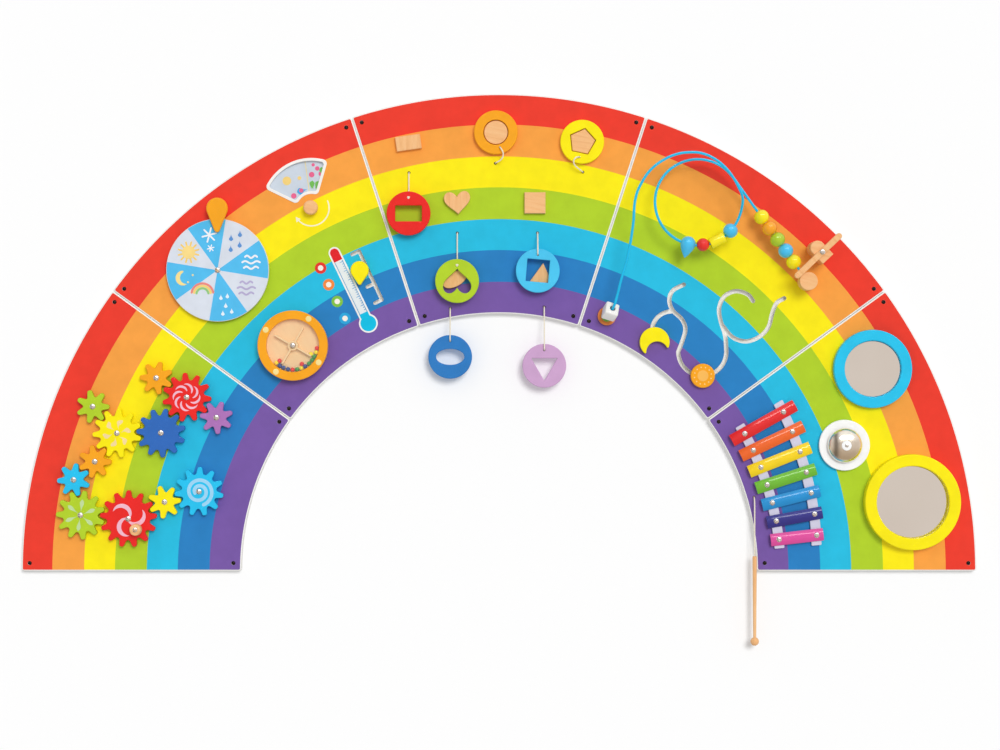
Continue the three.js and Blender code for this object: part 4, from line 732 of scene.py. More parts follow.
def tooth_angle(node, teeth, centre):
    """The direction of a wheel's first tooth, from the corners that reach furthest out."""
    spokes = [v.co - centre for v in frame["nodes"][node].data.vertices]
    reach = max(math.hypot(s.x, s.z) for s in spokes)
    tips = [math.atan2(s.z, s.x) * teeth for s in spokes if math.hypot(s.x, s.z) > reach - TIP_MARGIN]
    mean = math.atan2(sum(math.sin(t) for t in tips), sum(math.cos(t) for t in tips))
    return math.degrees(mean / teeth)


def bush(place):
    """A beech bush with the axle that a wheel turns on."""
    return turned(BUSH, out(place, 0), steps=32)


gear_back = board_front - GEAR_BACK
gear_face = gear_back - GEAR_THICK
gear_spots = {}
for name, (teeth, colour) in GEARS.items():
    node = "gear_" + name
    centre = pivot(name + "_turn")
    phase = tooth_angle(node, teeth, centre)
    rim = []
    for k in range(teeth):
        way = heading(phase + 360 * k / teeth)
        rim += [centre + (way * (teeth / 2 + rise) + beside(way) * half) * GEAR_MODULE
                for rise, half in TOOTH]
    wheel = plate(softened(rim), gear_back, gear_face, GEAR_ROUND)
    bore = drill(centre, AXLE_BORE, 0, gear_face - GEAR_THICK, 32)
    piece(node, cut(wheel, [bore]), satin[colour], colour + "_paint", node, body=node)
    gear_spots[name] = centre
bushes = [bush(centre) for centre in gear_spots.values()]
screws = [screw_head(SCREW_RADIUS, out(centre, GEAR_BACK + GEAR_THICK + SCREW_SEAT))
          for centre in gear_spots.values()]
piece("gear_bushes", joined(*bushes), beech_upright, "natural_beech")
piece("gear_screws", joined(*screws), bright_steel, "bell_nickel")


def printed(name, outlines, level, colour, body="boards", skins=1):
    """Flat shapes of ink on a face, in one skin of ink or on top of others."""
    shapes = [plate(outline, level + FACE_MARGIN, level - skins * PRINT_SKIN - k * INK_STEP)
              for k, outline in enumerate(outlines)]
    ink_film = painted(name + "_ink", colour, INK_WEAR, INK_RELIEF)
    piece(name, joined(*shapes), ink_film, "white_paint", body=body)


def both_sides(pairs):
    """The outline of a strip given by pairs of places across it: out on one side and back on the other."""
    return [first for first, _ in pairs] + [second for _, second in reversed(pairs)]


def leaf(root, tip, half, lean=0.0, steps=12):
    """A petal from a root to a tip, widest past its middle, that may lean to one side like a comma."""
    way = tip - root
    side = beside(way).normalized()
    pairs = []
    for i in range(steps + 1):
        t = i / steps
        rib = root + way * t + side * (lean * math.sin(math.pi * t))
        width = half * math.sin(math.pi * t ** 2) + BLUNT * half
        pairs.append((rib + side * width, rib - side * width))
    return both_sides(pairs)


def flower(centre, first, root, tip, half, lean=0.0):
    """Six petals round a centre."""
    turns = [first + 60 * k for k in range(6)]
    return [leaf(along(centre, turn, root * MM), along(centre, turn, tip * MM), half * MM, lean * MM)
            for turn in turns]


def crescent(centre, radius, first, sweep, thick, steps=24):
    """A swirl that starts thin, swells and ends in a point along an arc."""
    pairs = []
    for i in range(steps + 1):
        t = i / steps
        width = thick * math.sin(math.pi * (0.08 + 0.92 * t)) ** 0.8 if t < 1 else 0.02 * thick
        pairs.append([along(centre, first + sweep * t, radius + half) for half in (width / 2, -width / 2)])
    return both_sides(pairs)


def swirls(centre, count, lean, offset, radius, start, sweep, thick):
    """Swirls all round a wheel, each on an arc about a place of its own."""
    turns = [360 * k / count for k in range(count)]
    return [crescent(along(centre, turn + lean, offset * MM), radius * MM, turn + start, sweep, thick * MM)
            for turn in turns]


def coil(centre, start, sweep, inner, outer, half, steps=120):
    """A band that winds outwards round a wheel."""
    shares = [i / steps for i in range(steps + 1)]
    line = [along(centre, start + sweep * t, (inner + (outer - inner) * t) * MM) for t in shares]
    return [ribbon(line, half * MM)]


ORNAMENTS = [
    ("crank_swirls", "crank", swirls, (3, 147.8, 14.65, 16.2, -16, 175, 8), PALE_PINK),
    ("lime_petals", "lime_large", flower, (22, 6, 29, 3.6), PALE_GREEN),
    ("yellow_petals", "yellow_large", flower, (6, 8, 26, 4.4, 4), CREAM),
    ("red_pinwheel", "red_large", swirls, (8, 50, 13, 11.2, -75, 140, 4.2), PALE_PINK),
    ("sky_coil", "sky_large", coil, (200, -630, 7.5, 25.5, 3.2), PALE_BLUE),
]
for name, gear, draw, measures, colour in ORNAMENTS:
    printed(name, draw(gear_spots[gear], *measures), gear_face, colour, "gear_" + gear)


# Crank knob. A turned beech grip that spins on a pin in the crank wheel, with its own small screw on top.
# Its foot is narrow, so that fingers get behind it.
KNOB_RADIUS = 10.8 * MM
KNOB_HEIGHT = 24 * MM
KNOB_SCREW = 4.8 * MM
KNOB_PROFILE = [(0, 0), (0.72, 0), (0.74, 0.05), (0.8, 0.14), (1, 0.3), (1, 0.62), (1, 0.84), (0.9, 1),
                (0.62, 1), (0, 1)]
knob_spot = pivot("crank_knob_turn")
knob_foot = board_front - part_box("crank_knob")[1].y
grip = rounded([(r * KNOB_RADIUS, h * KNOB_HEIGHT) for r, h in KNOB_PROFILE])
piece("crank_knob_grip", turned(grip, out(knob_spot, knob_foot)), beech_level, "natural_beech", "crank_knob",
      body="crank_knob")
piece("crank_knob_screw", screw_head(KNOB_SCREW, out(knob_spot, knob_foot + KNOB_HEIGHT - SCREW_SEAT)),
      bright_steel, "bell_nickel", body="crank_knob")


# Weather wheel. A ply disc with eight printed sectors, light blue and pale grey in turn, each with a plain
# weather sign. It turns on a bush below an orange pointer that is glued on a post.
WHEEL_RADIUS = 93.8 * MM
WHEEL_THICK = 9 * MM
WHEEL_EDGE = 1.2 * MM
WHEEL_TURN = -9.3
SECTOR = 45
SECTOR_BLUE = ink(86, 192, 242)
SECTOR_PALE = ink(220, 226, 237)
PLY_EDGE = ink(238, 232, 220)
wheel_spot = pivot("weather_wheel_turn")
wheel_face = gear_back - WHEEL_THICK
weather_print, tree = new_material("weather_print")
place = on_piece(tree)
spoke = add(tree, "ShaderNodeVectorMath", {0: place, 1: wheel_spot}, operation="SUBTRACT").outputs[0]
parts = add(tree, "ShaderNodeSeparateXYZ", {0: spoke}).outputs
angle = reckon(tree, "ARCTAN2", parts["Z"], parts["X"])
eighth = reckon(tree, "MULTIPLY_ADD", angle, 4 / math.pi, 8 - WHEEL_TURN / SECTOR)
odd = reckon(tree, "GREATER_THAN", reckon(tree, "FLOORED_MODULO", eighth, 2.0), 1.0)
sector = mixed(tree, odd, SECTOR_BLUE, SECTOR_PALE)
tone = mixed(tree, above(tree, place, wheel_face), PLY_EDGE, sector)
surface(*finish(tree, paint_film, Color=tone, Wear=0.2), 0.06, Specular_IOR_Level=0.2)
disc = plate(around(wheel_spot, WHEEL_RADIUS, steps=128), gear_back, wheel_face, WHEEL_EDGE)
bore = drill(wheel_spot, AXLE_BORE, 0, wheel_face - 5 * THROUGH, 32)
piece("weather_wheel_disc", cut(disc, [bore]), weather_print, "sky_paint", "weather_wheel",
      body="weather_wheel")
piece("wheel_bush", bush(wheel_spot), beech_upright, "natural_beech")
piece("wheel_screw", screw_head(SCREW_RADIUS, out(wheel_spot, GEAR_BACK + WHEEL_THICK + SCREW_SEAT)),
      bright_steel, "bell_nickel")


def sector_spot(k, radius, shift=0.0):
    """A place in the middle of a sector, or beside it."""
    return along(wheel_spot, WHEEL_TURN + SECTOR / 2 + SECTOR * k + shift, radius * MM)


def drops(k, size, *places):
    """Falling drops in a sector."""
    made = []
    for radius, shift in places:
        centre, half = sector_spot(k, radius, shift), Vector((0, 0, size * MM))
        made.append(leaf(centre + half, centre - half, 0.62 * size * MM))
    return made


def waves(k, radius):
    """Three lines of wind in a sector."""
    made = []
    for rise, length in [(10, 22), (0, 32), (-10, 26)]:
        line = [Vector((length * (t / 16 - 0.5), 0, rise + 2.2 * math.sin(t / 16 * 3 * math.pi)))
                for t in range(17)]
        made.append(ribbon([sector_spot(k, radius) + point * MM for point in line], 1.7 * MM))
    return made


def star(place, arms, reach, half):
    """Crossed bars of a snow crystal or the rays of a sun."""
    tips = [along(place, 180 * k / arms + 15, reach * MM) for k in range(arms)]
    return [capsule(place * 2 - tip, tip, half * MM, 6) for tip in tips]


def bow(radius):
    """One band of a rainbow."""
    return [ribbon([along(sector_spot(5, 52), turn, radius * MM) for turn in range(170, 9, -8)], 2 * MM)]


crystals = star(sector_spot(2, 66), 3, 13, 1.5) + star(sector_spot(2, 42, 4), 3, 6, 1)
nights = [crescent(sector_spot(4, 62), 12 * MM, 100, 190, 8 * MM)]
nights += [around(sector_spot(4, r, s), 1.8 * MM, steps=20) for r, s in [(58, 9), (72, -4), (46, -2)]]
WEATHER_SIGNS = [
    ("rain_signs", drops(1, 6, (46, 0), (62, -9), (64, 9), (78, 0)), (96, 150, 214)),
    ("wind_signs", waves(0, 63), (244, 244, 248)),
    ("snow_signs", crystals, (246, 248, 252)),
    ("sun_rays", star(sector_spot(3, 62), 6, 19, 1.5), (250, 210, 110)),
    ("bow_sign_high", bow(20), (240, 140, 130)),
    ("bow_sign_middle", bow(15.5), (250, 214, 120)),
    ("bow_sign_low", bow(11), (150, 205, 130)),
    ("night_signs", nights, (252, 228, 150)),
    ("shower_signs", drops(6, 5, (50, -6), (50, 8), (66, 0), (79, -6), (79, 6)), (236, 246, 252)),
    ("breeze_signs", waves(7, 62), (186, 176, 214)),
]
for name, outlines, colour in WEATHER_SIGNS:
    printed(name, outlines, wheel_face, ink(*colour), "weather_wheel")
printed("sun_sign", [around(sector_spot(3, 62), 12 * MM)], wheel_face, ink(252, 222, 140), "weather_wheel", 2)

POINTER_RISE = 112.4 * MM
POINTER_HEAD = 19.5 * MM
POINTER_TIP = 5.2 * MM
POINTER_LENGTH = 38.5 * MM
POINTER_LEVEL = 16 * MM
POINTER_THICK = 8 * MM
POINTER_ROUND = 2.4 * MM
POST_RADIUS = 14 * MM
GLUE = 0.3 * MM


def teardrop(head, head_radius, tip, tip_radius, steps=20):
    """A round head that runs in straight sides to a small round tip."""
    way = bearing(head, tip)
    lean = math.degrees(math.acos((head_radius - tip_radius) / (tip - head).length))
    return (around(tip, tip_radius, way - lean, way + lean, steps)
            + around(head, head_radius, way + lean, way + 360 - lean, 2 * steps))


pointer_spot = along(wheel_spot, 90, POINTER_RISE)
pointer_tip = pointer_spot - Vector((0, 0, POINTER_LENGTH))
level = board_front - POINTER_LEVEL
outline = teardrop(pointer_spot, POINTER_HEAD, pointer_tip, POINTER_TIP)
arrow = plate(outline, level, level - POINTER_THICK, POINTER_ROUND)
stem = plate(around(pointer_spot, POST_RADIUS), board_front - GLUE, level)
piece("weather_pointer_arrow", joined(arrow, stem), satin["orange"], "orange_paint", "weather_pointer")


# Season dial. A printed disc turns in a pocket behind the board and shows through a fan window with a raised
# white border; a beech knob on its shaft stands in front.
SEASON_RADIUS = 97 * MM
SEASON_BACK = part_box("season_disc")[1].y
SEASON_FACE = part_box("season_disc")[0].y
SEASON_EDGE = 0.6 * MM
SEASON_SKY = ink(206, 216, 228)
BORDER_WIDTH = 5 * MM
BORDER_HEIGHT = 1.6 * MM
BORDER_CORNER = 8 * MM
BORDER_ROOT = 0.5 * MM
BORDER_EDGE = 0.6 * MM
BORDER_LAP = 0.2 * MM
GRIP_RADIUS = 13.2 * MM
GRIP_HEIGHT = 22 * MM
GRIP_SEAT = 0.5 * MM
SHAFT_RADIUS = 4 * MM
MARK_RADIUS = 32.5 * MM
MARK_LINE = range(-136, 25, 4)
MARK_TIP = -142
MARK_HALF = 1.2 * MM
MARK_COLOUR = ink(250, 246, 214)
disc = plate(around(SEASON_SPOT, SEASON_RADIUS, steps=96), SEASON_BACK, SEASON_FACE, SEASON_EDGE)
sky_ink = painted("season_sky", SEASON_SKY, INK_WEAR, INK_RELIEF)
piece("season_disc_print", disc, sky_ink, "sky_paint", "season_disc", body="season_dial")
border = plate(fan_outline(BORDER_WIDTH, BORDER_CORNER), board_front + BORDER_ROOT,
               board_front - BORDER_HEIGHT, BORDER_EDGE, hole=fan_outline(-BORDER_LAP, WINDOW_CORNER))
piece("season_border", border, satin["white"], "white_paint")


def on_disc(angle, radius):
    """A place on the season disc."""
    return along(SEASON_SPOT, angle, radius * MM)


def rounds(*places):
    """Round blots of ink on the season disc."""
    return [around(on_disc(angle, radius), size * MM, steps=24) for angle, radius, size in places]


LEAVES = [(74, 34, 2), (79, 36, -4), (85, 34, 3), (91, 35, -3), (69, 62, 8), (30, 40, 5), (40, 60, -6)]
spokes = [capsule(on_disc(a, 12), on_disc(a, 95), 0.7 * MM, 4) for a in (8, 98, 188, 278)]
leaves = [leaf(on_disc(a, r), on_disc(a + s, r + 16), 4 * MM, 1 * MM) for a, r, s in LEAVES]
SEASON_SIGNS = [
    ("season_lines", spokes, (244, 222, 150)),
    ("season_leaves", leaves, (118, 192, 92)),
    ("season_blooms", rounds((90, 62, 5), (82, 74, 4), (75, 66, 4.5), (88, 80, 3), (145, 40, 5), (120, 38, 4),
                             (20, 66, 5)), (236, 104, 146)),
    ("season_discs", rounds((132, 68, 8), (112, 60, 3.5), (210, 60, 9)), (248, 214, 128)),
    ("season_pools", [leaf(on_disc(104, 36), on_disc(132, 40), 6 * MM),
                      leaf(on_disc(230, 50), on_disc(260, 50), 8 * MM)], (72, 170, 228)),
]
for name, outlines, colour in SEASON_SIGNS:
    printed(name, outlines, SEASON_FACE, ink(*colour), "season_dial")

shaft_end = board_front - SEASON_BACK
grip = rounded([(r * GRIP_RADIUS, GRIP_SEAT + h * GRIP_HEIGHT) for r, h in KNOB_PROFILE])
shaft = [(0, shaft_end), (SHAFT_RADIUS, shaft_end), (SHAFT_RADIUS, GRIP_SEAT)]
piece("season_knob_grip", turned(shaft + grip[1:], out(SEASON_SPOT, 0)), beech_level, "natural_beech",
      "season_knob", body="season_dial")
turn_mark = [along(SEASON_SPOT, angle, MARK_RADIUS) for angle in MARK_LINE]
tip = along(SEASON_SPOT, MARK_TIP, MARK_RADIUS)
tip_way = heading(MARK_TIP - 90) * MM
tip_side = beside(tip_way)
arrow_head = [tip + tip_way * 5, tip - tip_way * 4 + tip_side * 5, tip - tip_way * 4 - tip_side * 5]
printed("turn_arrow", [ribbon(turn_mark, MARK_HALF), arrow_head], board_front, MARK_COLOUR)


# Thermometer. A printed tube with a red cap, a blue bulb and a scale, and a yellow slider whose stem runs in
# the notched slot beside it. Four plain colour dots mark the notches.
GAUGE_TOP = Vector((-301.4 * MM, 0, ARCH_Z + 583.1 * MM))
GAUGE_BULB = Vector((-239.3 * MM, 0, ARCH_Z + 454.3 * MM))
GAUGE_TILT = -64.3
GAUGE_HALF = 8.2
GAUGE_RIM = 2.8 * MM
BULB_RADIUS = 14.5 * MM
CAP_LENGTH = 16
TUBE = (17, 123)
TUBE_HALF = 6.6
NECK = (122, 135)
TICKS = 23
TICK_STEP = 4.4
TICK_WIDTH = 0.9
DOT_RADIUS = 10.5 * MM
DOT_EYE = 5 * MM
DOTS = [("red", (-326.8, 555.6), ink(232, 52, 44)), ("orange", (-312, 525.1), ink(246, 138, 62)),
        ("green", (-296.4, 494.3), ink(128, 194, 66)), ("blue", (-282.1, 463.3), ink(40, 168, 222))]
gauge_way = (GAUGE_BULB - GAUGE_TOP).normalized()


def gauge(length, across):
    """A place down the thermometer and across it."""
    return GAUGE_TOP + gauge_way * length * MM - beside(gauge_way) * across * MM


def gauge_box(start, end, left, right):
    """An oblong from one length down the thermometer to another."""
    return [gauge(start, right), gauge(end, right), gauge(end, left), gauge(start, left)]


rim = [capsule(GAUGE_TOP, GAUGE_BULB, GAUGE_HALF * MM + GAUGE_RIM),
       around(GAUGE_BULB, BULB_RADIUS + GAUGE_RIM)]
cap = around(GAUGE_TOP, GAUGE_HALF * MM, GAUGE_TILT + 90, GAUGE_TILT + 270, 16)
cap += [gauge(CAP_LENGTH, GAUGE_HALF), gauge(CAP_LENGTH, -GAUGE_HALF)]
ticks = []
for k in range(TICKS):
    start = 20 + TICK_STEP * k
    reach = 5.6 if k % 4 == 0 else 2.8
    ticks.append(gauge_box(start, start + TICK_WIDTH, -TUBE_HALF, reach - TUBE_HALF))
ticks += [gauge_box(*TUBE, side, side + 0.8) for side in (-7.6, 6.8)]
printed("gauge_rim", rim, board_front, PAINTS["white"])
printed("gauge_cap", [cap], board_front, ink(226, 32, 40), skins=2)
printed("gauge_tube", [gauge_box(*TUBE, -TUBE_HALF, TUBE_HALF)], board_front, ink(232, 238, 240), skins=2)
bulb = [around(GAUGE_BULB, BULB_RADIUS), gauge_box(*NECK, -GAUGE_HALF, GAUGE_HALF)]
printed("gauge_bulb", bulb, board_front, ink(0, 193, 232), skins=2)
printed("gauge_scale", ticks, board_front, ink(52, 150, 206), skins=3)
dot_eyes = []
for name, (x, z), colour in DOTS:
    centre = ARCH + Vector((x * MM, 0, z * MM))
    printed("gauge_dot_" + name, [around(centre, DOT_RADIUS, steps=40)], board_front, colour)
    dot_eyes.append(around(centre, DOT_EYE, steps=32))
printed("gauge_dot_eyes", dot_eyes, board_front, ink(250, 244, 232), skins=2)

SLIDER_LIFT = 0.6 * MM
BULB_PLATE = 16 * MM
BULB_HEAD = 16.6 * MM
BULB_TIP = 3.6 * MM
BULB_DROP = 23.2 * MM
BULB_ROUND = 2.2 * MM
STEM_GAP = 0.6 * MM
STEM_TOP = 1 * MM
FOOT_BACK = -11.4 * MM
FOOT_FRONT = -7.4 * MM
slider_back = board_front - SLIDER_LIFT


def slider_stem(place, half):
    """Stem and foot that hold a slider in its slot."""
    stem, foot = half - STEM_GAP, half + CHANNEL_LIP - STEM_GAP
    shape = [(0, FOOT_BACK), (foot, FOOT_BACK), (foot, FOOT_FRONT), (stem, FOOT_FRONT), (stem, STEM_TOP),
             (0, STEM_TOP)]
    return turned(shape, out(place, 0), steps=24)


stem_spot = along(THERMO_TOP, THERMO_TILT, THERMO_RUN / (NOTCHES - 1))
bulb_spot = along(stem_spot, THERMO_TILT - 90, THERMO_NOTCH - STEM_GAP)
outline = teardrop(bulb_spot, BULB_HEAD, bulb_spot - Vector((0, 0, BULB_DROP)), BULB_TIP)
bulb = plate(outline, slider_back, slider_back - BULB_PLATE, BULB_ROUND)
piece("thermometer_bulb", joined(bulb, slider_stem(stem_spot, THERMO_HALF)), satin["yellow"], "yellow_paint",
      "thermometer_slider", body="thermometer_slider")


# Spinner. An orange ring on a ply floor, with four thin blades that stir sixteen loose balls under a clear
# cover. Four pale dowels pin the ring to its floor.
DRUM_RING = sized((48.3, 5), (64, 5), (64, 17), (64, 20), (61, 20), (50, 20), (48.3, 20), (48.3, 18),
                  (48.3, 5))
DRUM_FLOOR = sized((5.5, 0), (63, 0), (63.6, 0.6), (63.6, 5), (10, 5), (9, 16), (5.5, 16), (5.5, 0))
DRUM_COVER = sized((5.5, 17), (48, 17), (48, 18.5), (5.5, 18.5), (5.5, 17))
DRUM_SCREW = 24.2 * MM
FLOOR_LEVEL = 5 * MM
BLADE_TURNS = (60, 150, 240, 330)
BLADE_RUN = (8 * MM, 37 * MM)
BLADE_HALF = 1.5 * MM
BLADE_BACK = 4.5 * MM
BLADE_FRONT = 16.5 * MM
BLADE_ROUND = 0.4 * MM
DOWEL = sized((0, 0), (5.8, 0), (5.8, 15), (5, 15.7), (0, 15.9))
DOWEL_TURNS = (59, 149.7, 237.5, 327)
DOWEL_RADIUS = 56.6 * MM
DOWEL_FOOT = 9.6 * MM
CLEAR = (0.95, 0.97, 1, 1)
BALL_RADIUS = 4.1 * MM
BALL_REACH = 43.9 * MM
BALLS = {
    "red": [(44.33, -4.76), (15.94, -33.53), (-0.92, -44.70), (-24.73, -27.85)],
    "yellow": [(42.14, -12.46), (32.61, -15.57), (15.21, -41.40), (-30.78, -31.88)],
    "green": [(38.84, -20.15), (34.81, -26.38), (29.31, -32.98), (7.33, -44.15)],
    "blue": [(22.72, -39.20), (-9.53, -44.15), (-17.77, -40.85), (-24.73, -36.82)],
}
drum_spot = pivot("spinner_turn")
drum_foot = out(drum_spot, GEAR_BACK)
piece("drum_ring", turned(rounded(DRUM_RING), drum_foot, steps=96), satin["orange"], "orange_paint",
      "spinner_drum", body="spinner_drum")
floor = [turned(DRUM_FLOOR, drum_foot, steps=96)]
for turn in BLADE_TURNS:
    inner, outer = [along(drum_spot, turn, radius) for radius in BLADE_RUN]
    floor.append(plate(capsule(inner, outer, BLADE_HALF, 4), drum_foot.y - BLADE_BACK,
                       drum_foot.y - BLADE_FRONT, BLADE_ROUND))
piece("drum_floor", joined(*floor), beech("drum_wood", 32, 0.7), "natural_beech", body="spinner_drum")
dowels = [turned(rounded(DOWEL, 1), out(along(drum_spot, turn, DOWEL_RADIUS), DOWEL_FOOT), steps=28)
          for turn in DOWEL_TURNS]
piece("drum_dowels", joined(*dowels), painted("pale_dowel", ink(252, 228, 150), 0.2), "natural_beech",
      body="spinner_drum")
turns = [math.radians(90 - 15 * i) for i in range(13)]
ball = [(BALL_RADIUS * max(0, math.cos(t)), BALL_RADIUS * math.sin(t)) for t in turns]
ball_paints = {"red": satin["red"], "yellow": satin["yellow"],
               "green": painted("green_paint", ink(58, 160, 66)),
               "blue": painted("navy_paint", ink(40, 74, 150))}
for name, places in BALLS.items():
    balls = []
    for x, z in places:
        spoke = Vector((x, 0, z)) * MM
        spoke *= min(1, BALL_REACH / spoke.length)
        balls.append(turned(ball, out(drum_spot + spoke, GEAR_BACK + FLOOR_LEVEL + BALL_RADIUS), steps=24))
    piece("drum_balls_" + name, joined(*balls), ball_paints[name], "red_paint", body="spinner_drum")
clear_cover, tree = new_material("clear_cover")
haze = spread(tree, noise(tree, on_piece(tree), 60.0, 4.0), 0.05, 0.16)
shine = add(tree, "ShaderNodeBsdfPrincipled", {"Base Color": CLEAR, "Roughness": haze, "Alpha": 0.04})
add(tree, "ShaderNodeOutputMaterial", {"Surface": shine.outputs[0]})
piece("drum_cover", turned(DRUM_COVER, drum_foot, steps=96), clear_cover, "white_paint", body="spinner_drum")
piece("drum_bush", bush(drum_spot), beech_upright, "natural_beech")
piece("drum_screw", screw_head(SCREW_RADIUS, out(drum_spot, DRUM_SCREW)), bright_steel, "bell_nickel")


# Pegs and rings. Seven beech pegs are glued to the board, and seven painted rings have a hole of the same
# shape to go over them. Five rings hang on strings and two sit on their pegs.
PEG_ROOT = 0.5 * MM
PEG_HEIGHT = 10 * MM
PEG_ROUND = 1 * MM
RING_RADIUS = 40 * MM
RING_THICK = 12 * MM
RING_ROUND = 1.3 * MM
RING_FIT = 1.3 * MM
EYE_OFFSET = 28.7 * MM
EYE_BORE = 2.1 * MM
SHAPE_STEPS = 120
HEART_SIZE = (48 * MM, 42 * MM)
HEART_GROWTH = 2.6
HEART_STEP = 1.6 * MM
PEGS = {"rectangle": (spot(101.93, 0.818), 8), "disc": (spot(90.41, 0.8215), 0),
        "pentagon": (spot(79.05, 0.815), 0), "heart": (spot(96.44, 0.512), 5),
        "square": (spot(84.43, 0.51), 0), "oval": (spot(98.55, 0.171), 30),
        "triangle": (spot(81.76, 0.182), -6)}
RINGS = {"red": ("rectangle", 0, 90, satin["red"]), "lime": ("heart", 180, 90, satin["lime"]),
         "sky": ("square", -5, 90, painted("ring_sky", ink(76, 200, 243))),
         "blue": ("oval", 0, 90, painted("ring_blue", ink(46, 124, 196))),
         "purple": ("triangle", 180, 90, painted("ring_lilac", ink(208, 166, 208))),
         "orange": ("disc", 0, -74.6, satin["orange"]), "yellow": ("pentagon", 0, -101, satin["yellow"])}


def sided(sides, apothem, first):
    """Distance to the edge of a regular figure in each direction."""
    step = 360 / sides
    return lambda a: apothem / math.cos(math.radians((a - first) % step - step / 2))


def boxed(half_length, half_width):
    """Distance to the edge of an oblong in each direction."""
    return lambda a: min(half_length / max(1e-6, abs(math.cos(math.radians(a)))),
                         half_width / max(1e-6, abs(math.sin(math.radians(a)))))


def oval(half_length, half_width):
    """Distance to the edge of an oval in each direction."""
    return lambda a: 1 / math.hypot(math.cos(math.radians(a)) / half_length,
                                    math.sin(math.radians(a)) / half_width)


def heart_outline(width, height):
    """The outline of a heart, with no two points too close together."""
    points = []
    for k in range(SHAPE_STEPS):
        t = math.radians(360 * (k + 0.5) / SHAPE_STEPS)
        x = math.copysign(abs(math.sin(t)) ** 2.4, math.sin(t)) * width / 2
        z = 13 * math.cos(t) - 5 * math.cos(2 * t) - 2 * math.cos(3 * t) - math.cos(4 * t) + 2.5
        point = Vector((x, 0, z / 29 * height))
        if all((point - other).length > HEART_STEP for other in points):
            points.append(point)
    return points


def shape_outline(shape, margin):
    """The outline of a peg, or with a margin of the hole in its ring."""
    if shape == "heart":
        return heart_outline(*[size + HEART_GROWTH * margin for size in HEART_SIZE])
    reach = {
        "rectangle": boxed(23 * MM + margin, 13.25 * MM + margin),
        "disc": lambda a: 21.5 * MM + margin,
        "pentagon": sided(5, 24 * MM * math.cos(math.pi / 5) + margin, 78),
        "square": boxed(19.25 * MM + margin, 19.25 * MM + margin),
        "oval": oval(24.5 * MM + margin, 13.2 * MM + margin),
        "triangle": sided(3, 12.41 * MM + margin, 90),
    }[shape]
    angles = [360 * k / SHAPE_STEPS for k in range(SHAPE_STEPS)]
    return [along(Vector(), a, reach(a)) for a in angles]


def laid(points, place, turn):
    """An outline turned and moved to its place."""
    spin = Matrix.Rotation(-math.radians(turn), 4, "Y")
    return [place + spin @ p for p in points]


for shape, (place, turn) in PEGS.items():
    rim = laid(shape_outline(shape, 0), place, turn)
    peg = plate(rim, board_front + PEG_ROOT, board_front - PEG_HEIGHT, PEG_ROUND, segments=2)
    piece("peg_" + shape, peg, beech_upright if turn else beech_level, "natural_beech")

ring_eyes = {}
for name, (shape, turn, eye, paint) in RINGS.items():
    node = "ring_" + name
    low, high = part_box(node)
    centre = Vector(((low.x + high.x) / 2, 0, (low.z + high.z) / 2))
    rim = around(centre, RING_RADIUS, turn, turn + 360, SHAPE_STEPS)
    hole = laid(shape_outline(shape, RING_FIT), centre, turn)
    ring = plate(rim, high.y, high.y - RING_THICK, RING_ROUND, hole)
    ring_eyes[name] = along(centre, eye, EYE_OFFSET)
    eye_bore = drill(ring_eyes[name], EYE_BORE, high.y + THROUGH, low.y - THROUGH, 20)
    piece("ring_body_" + name, cut(ring, [eye_bore]), paint, name + "_paint", node, body=node)


# Strings. Limp twisted cotton, knotted behind the board and at each ring. Two pass behind their rings, three
# come over the front, and two lie slack in front of the seated rings.
STRING_RADIUS = 1.25 * MM
STRING_BEND = 6 * MM
STRING_TAIL = 9 * MM
STRING_COLOUR = ink(252, 245, 228)
STRING_SHADE = ink(232, 218, 190)
BEHIND_DROPS = {"red": 47.2 * MM, "lime": 60 * MM}
BEFORE_DROPS = {"sky": 41.5 * MM, "blue": 60.3 * MM, "purple": 79 * MM}
BEFORE_TOP = (-3.6 * MM, 5.4 * MM)
BEFORE_LOW = (17.3 * MM, 2.25 * MM)
EYE_DEPTH = 6 * MM
CURLS = {
    "orange": ("disc", -74.6, [(1, 0.3, 6), (6, 2.3, 11.5), (12, 7, 16), (14.3, 13.5, 19), (13, 20.5, 20.3)]),
    "yellow": ("pentagon", -101, [(-1.5, 0.8, 6), (-8, 5, 12), (-15.5, 11.5, 17), (-17.5, 18.5, 20),
                                  (-13.5, 24.6, 21)]),
}
CURL_START = [(0, 0, -13.75), (0, 0, -7.5), (0, 0, 1)]
CURL_END = (14.7 * MM, 1.55 * MM)
KNOT_TURN = 0.6 * MM
KNOT_STRAND = 1.08 * MM
KNOT_DEPTH = 10 * MM
KNOT_PROUD = 0.6 * MM
# Each string hole is lined with a dark tube of paint, a painted shade for the shadow down inside the drilled
# hole.
HOLE_SHADE_LINING = sized((1.9, 0.04), (2.7, 0.04), (2.7, -8), (1.9, -8), (1.9, 0.04))
cotton, tree = new_material("twisted_cotton")
slant = mapped(tree, on_piece(tree), Rotation=(0, math.radians(38), 0))
twist = add(tree, "ShaderNodeTexWave", {"Vector": slant, "Scale": 160.0, "Distortion": 1.5, "Detail": 2.0},
            bands_direction="Z").outputs["Fac"]
# The twist is drawn as slanting stripes: painted shade darkens the creases between the strands, and the same
# pattern gives the bump.
yarn = ramp(tree, twist, [(0.1, STRING_SHADE), (0.6, STRING_COLOUR)])
surface(yarn, spread(tree, twist, 0.95, 0.8), twist, 0.5, 0.4 * MM, Sheen_Weight=0.2)


def bent_rod(name, route, radius, sides=4, steps=4):
    """A round rod or cord bent along a route."""
    line = bpy.data.curves.new(name, "CURVE")
    line.dimensions = "3D"
    line.bevel_depth = radius
    line.bevel_resolution = sides
    line.resolution_u = steps
    line.use_fill_caps = True
    spline = line.splines.new("BEZIER")
    spline.bezier_points.add(len(route) - 1)
    for point, place in zip(spline.bezier_points, route):
        point.co = place
        point.handle_left_type = point.handle_right_type = "AUTO"
    return show(name, line)


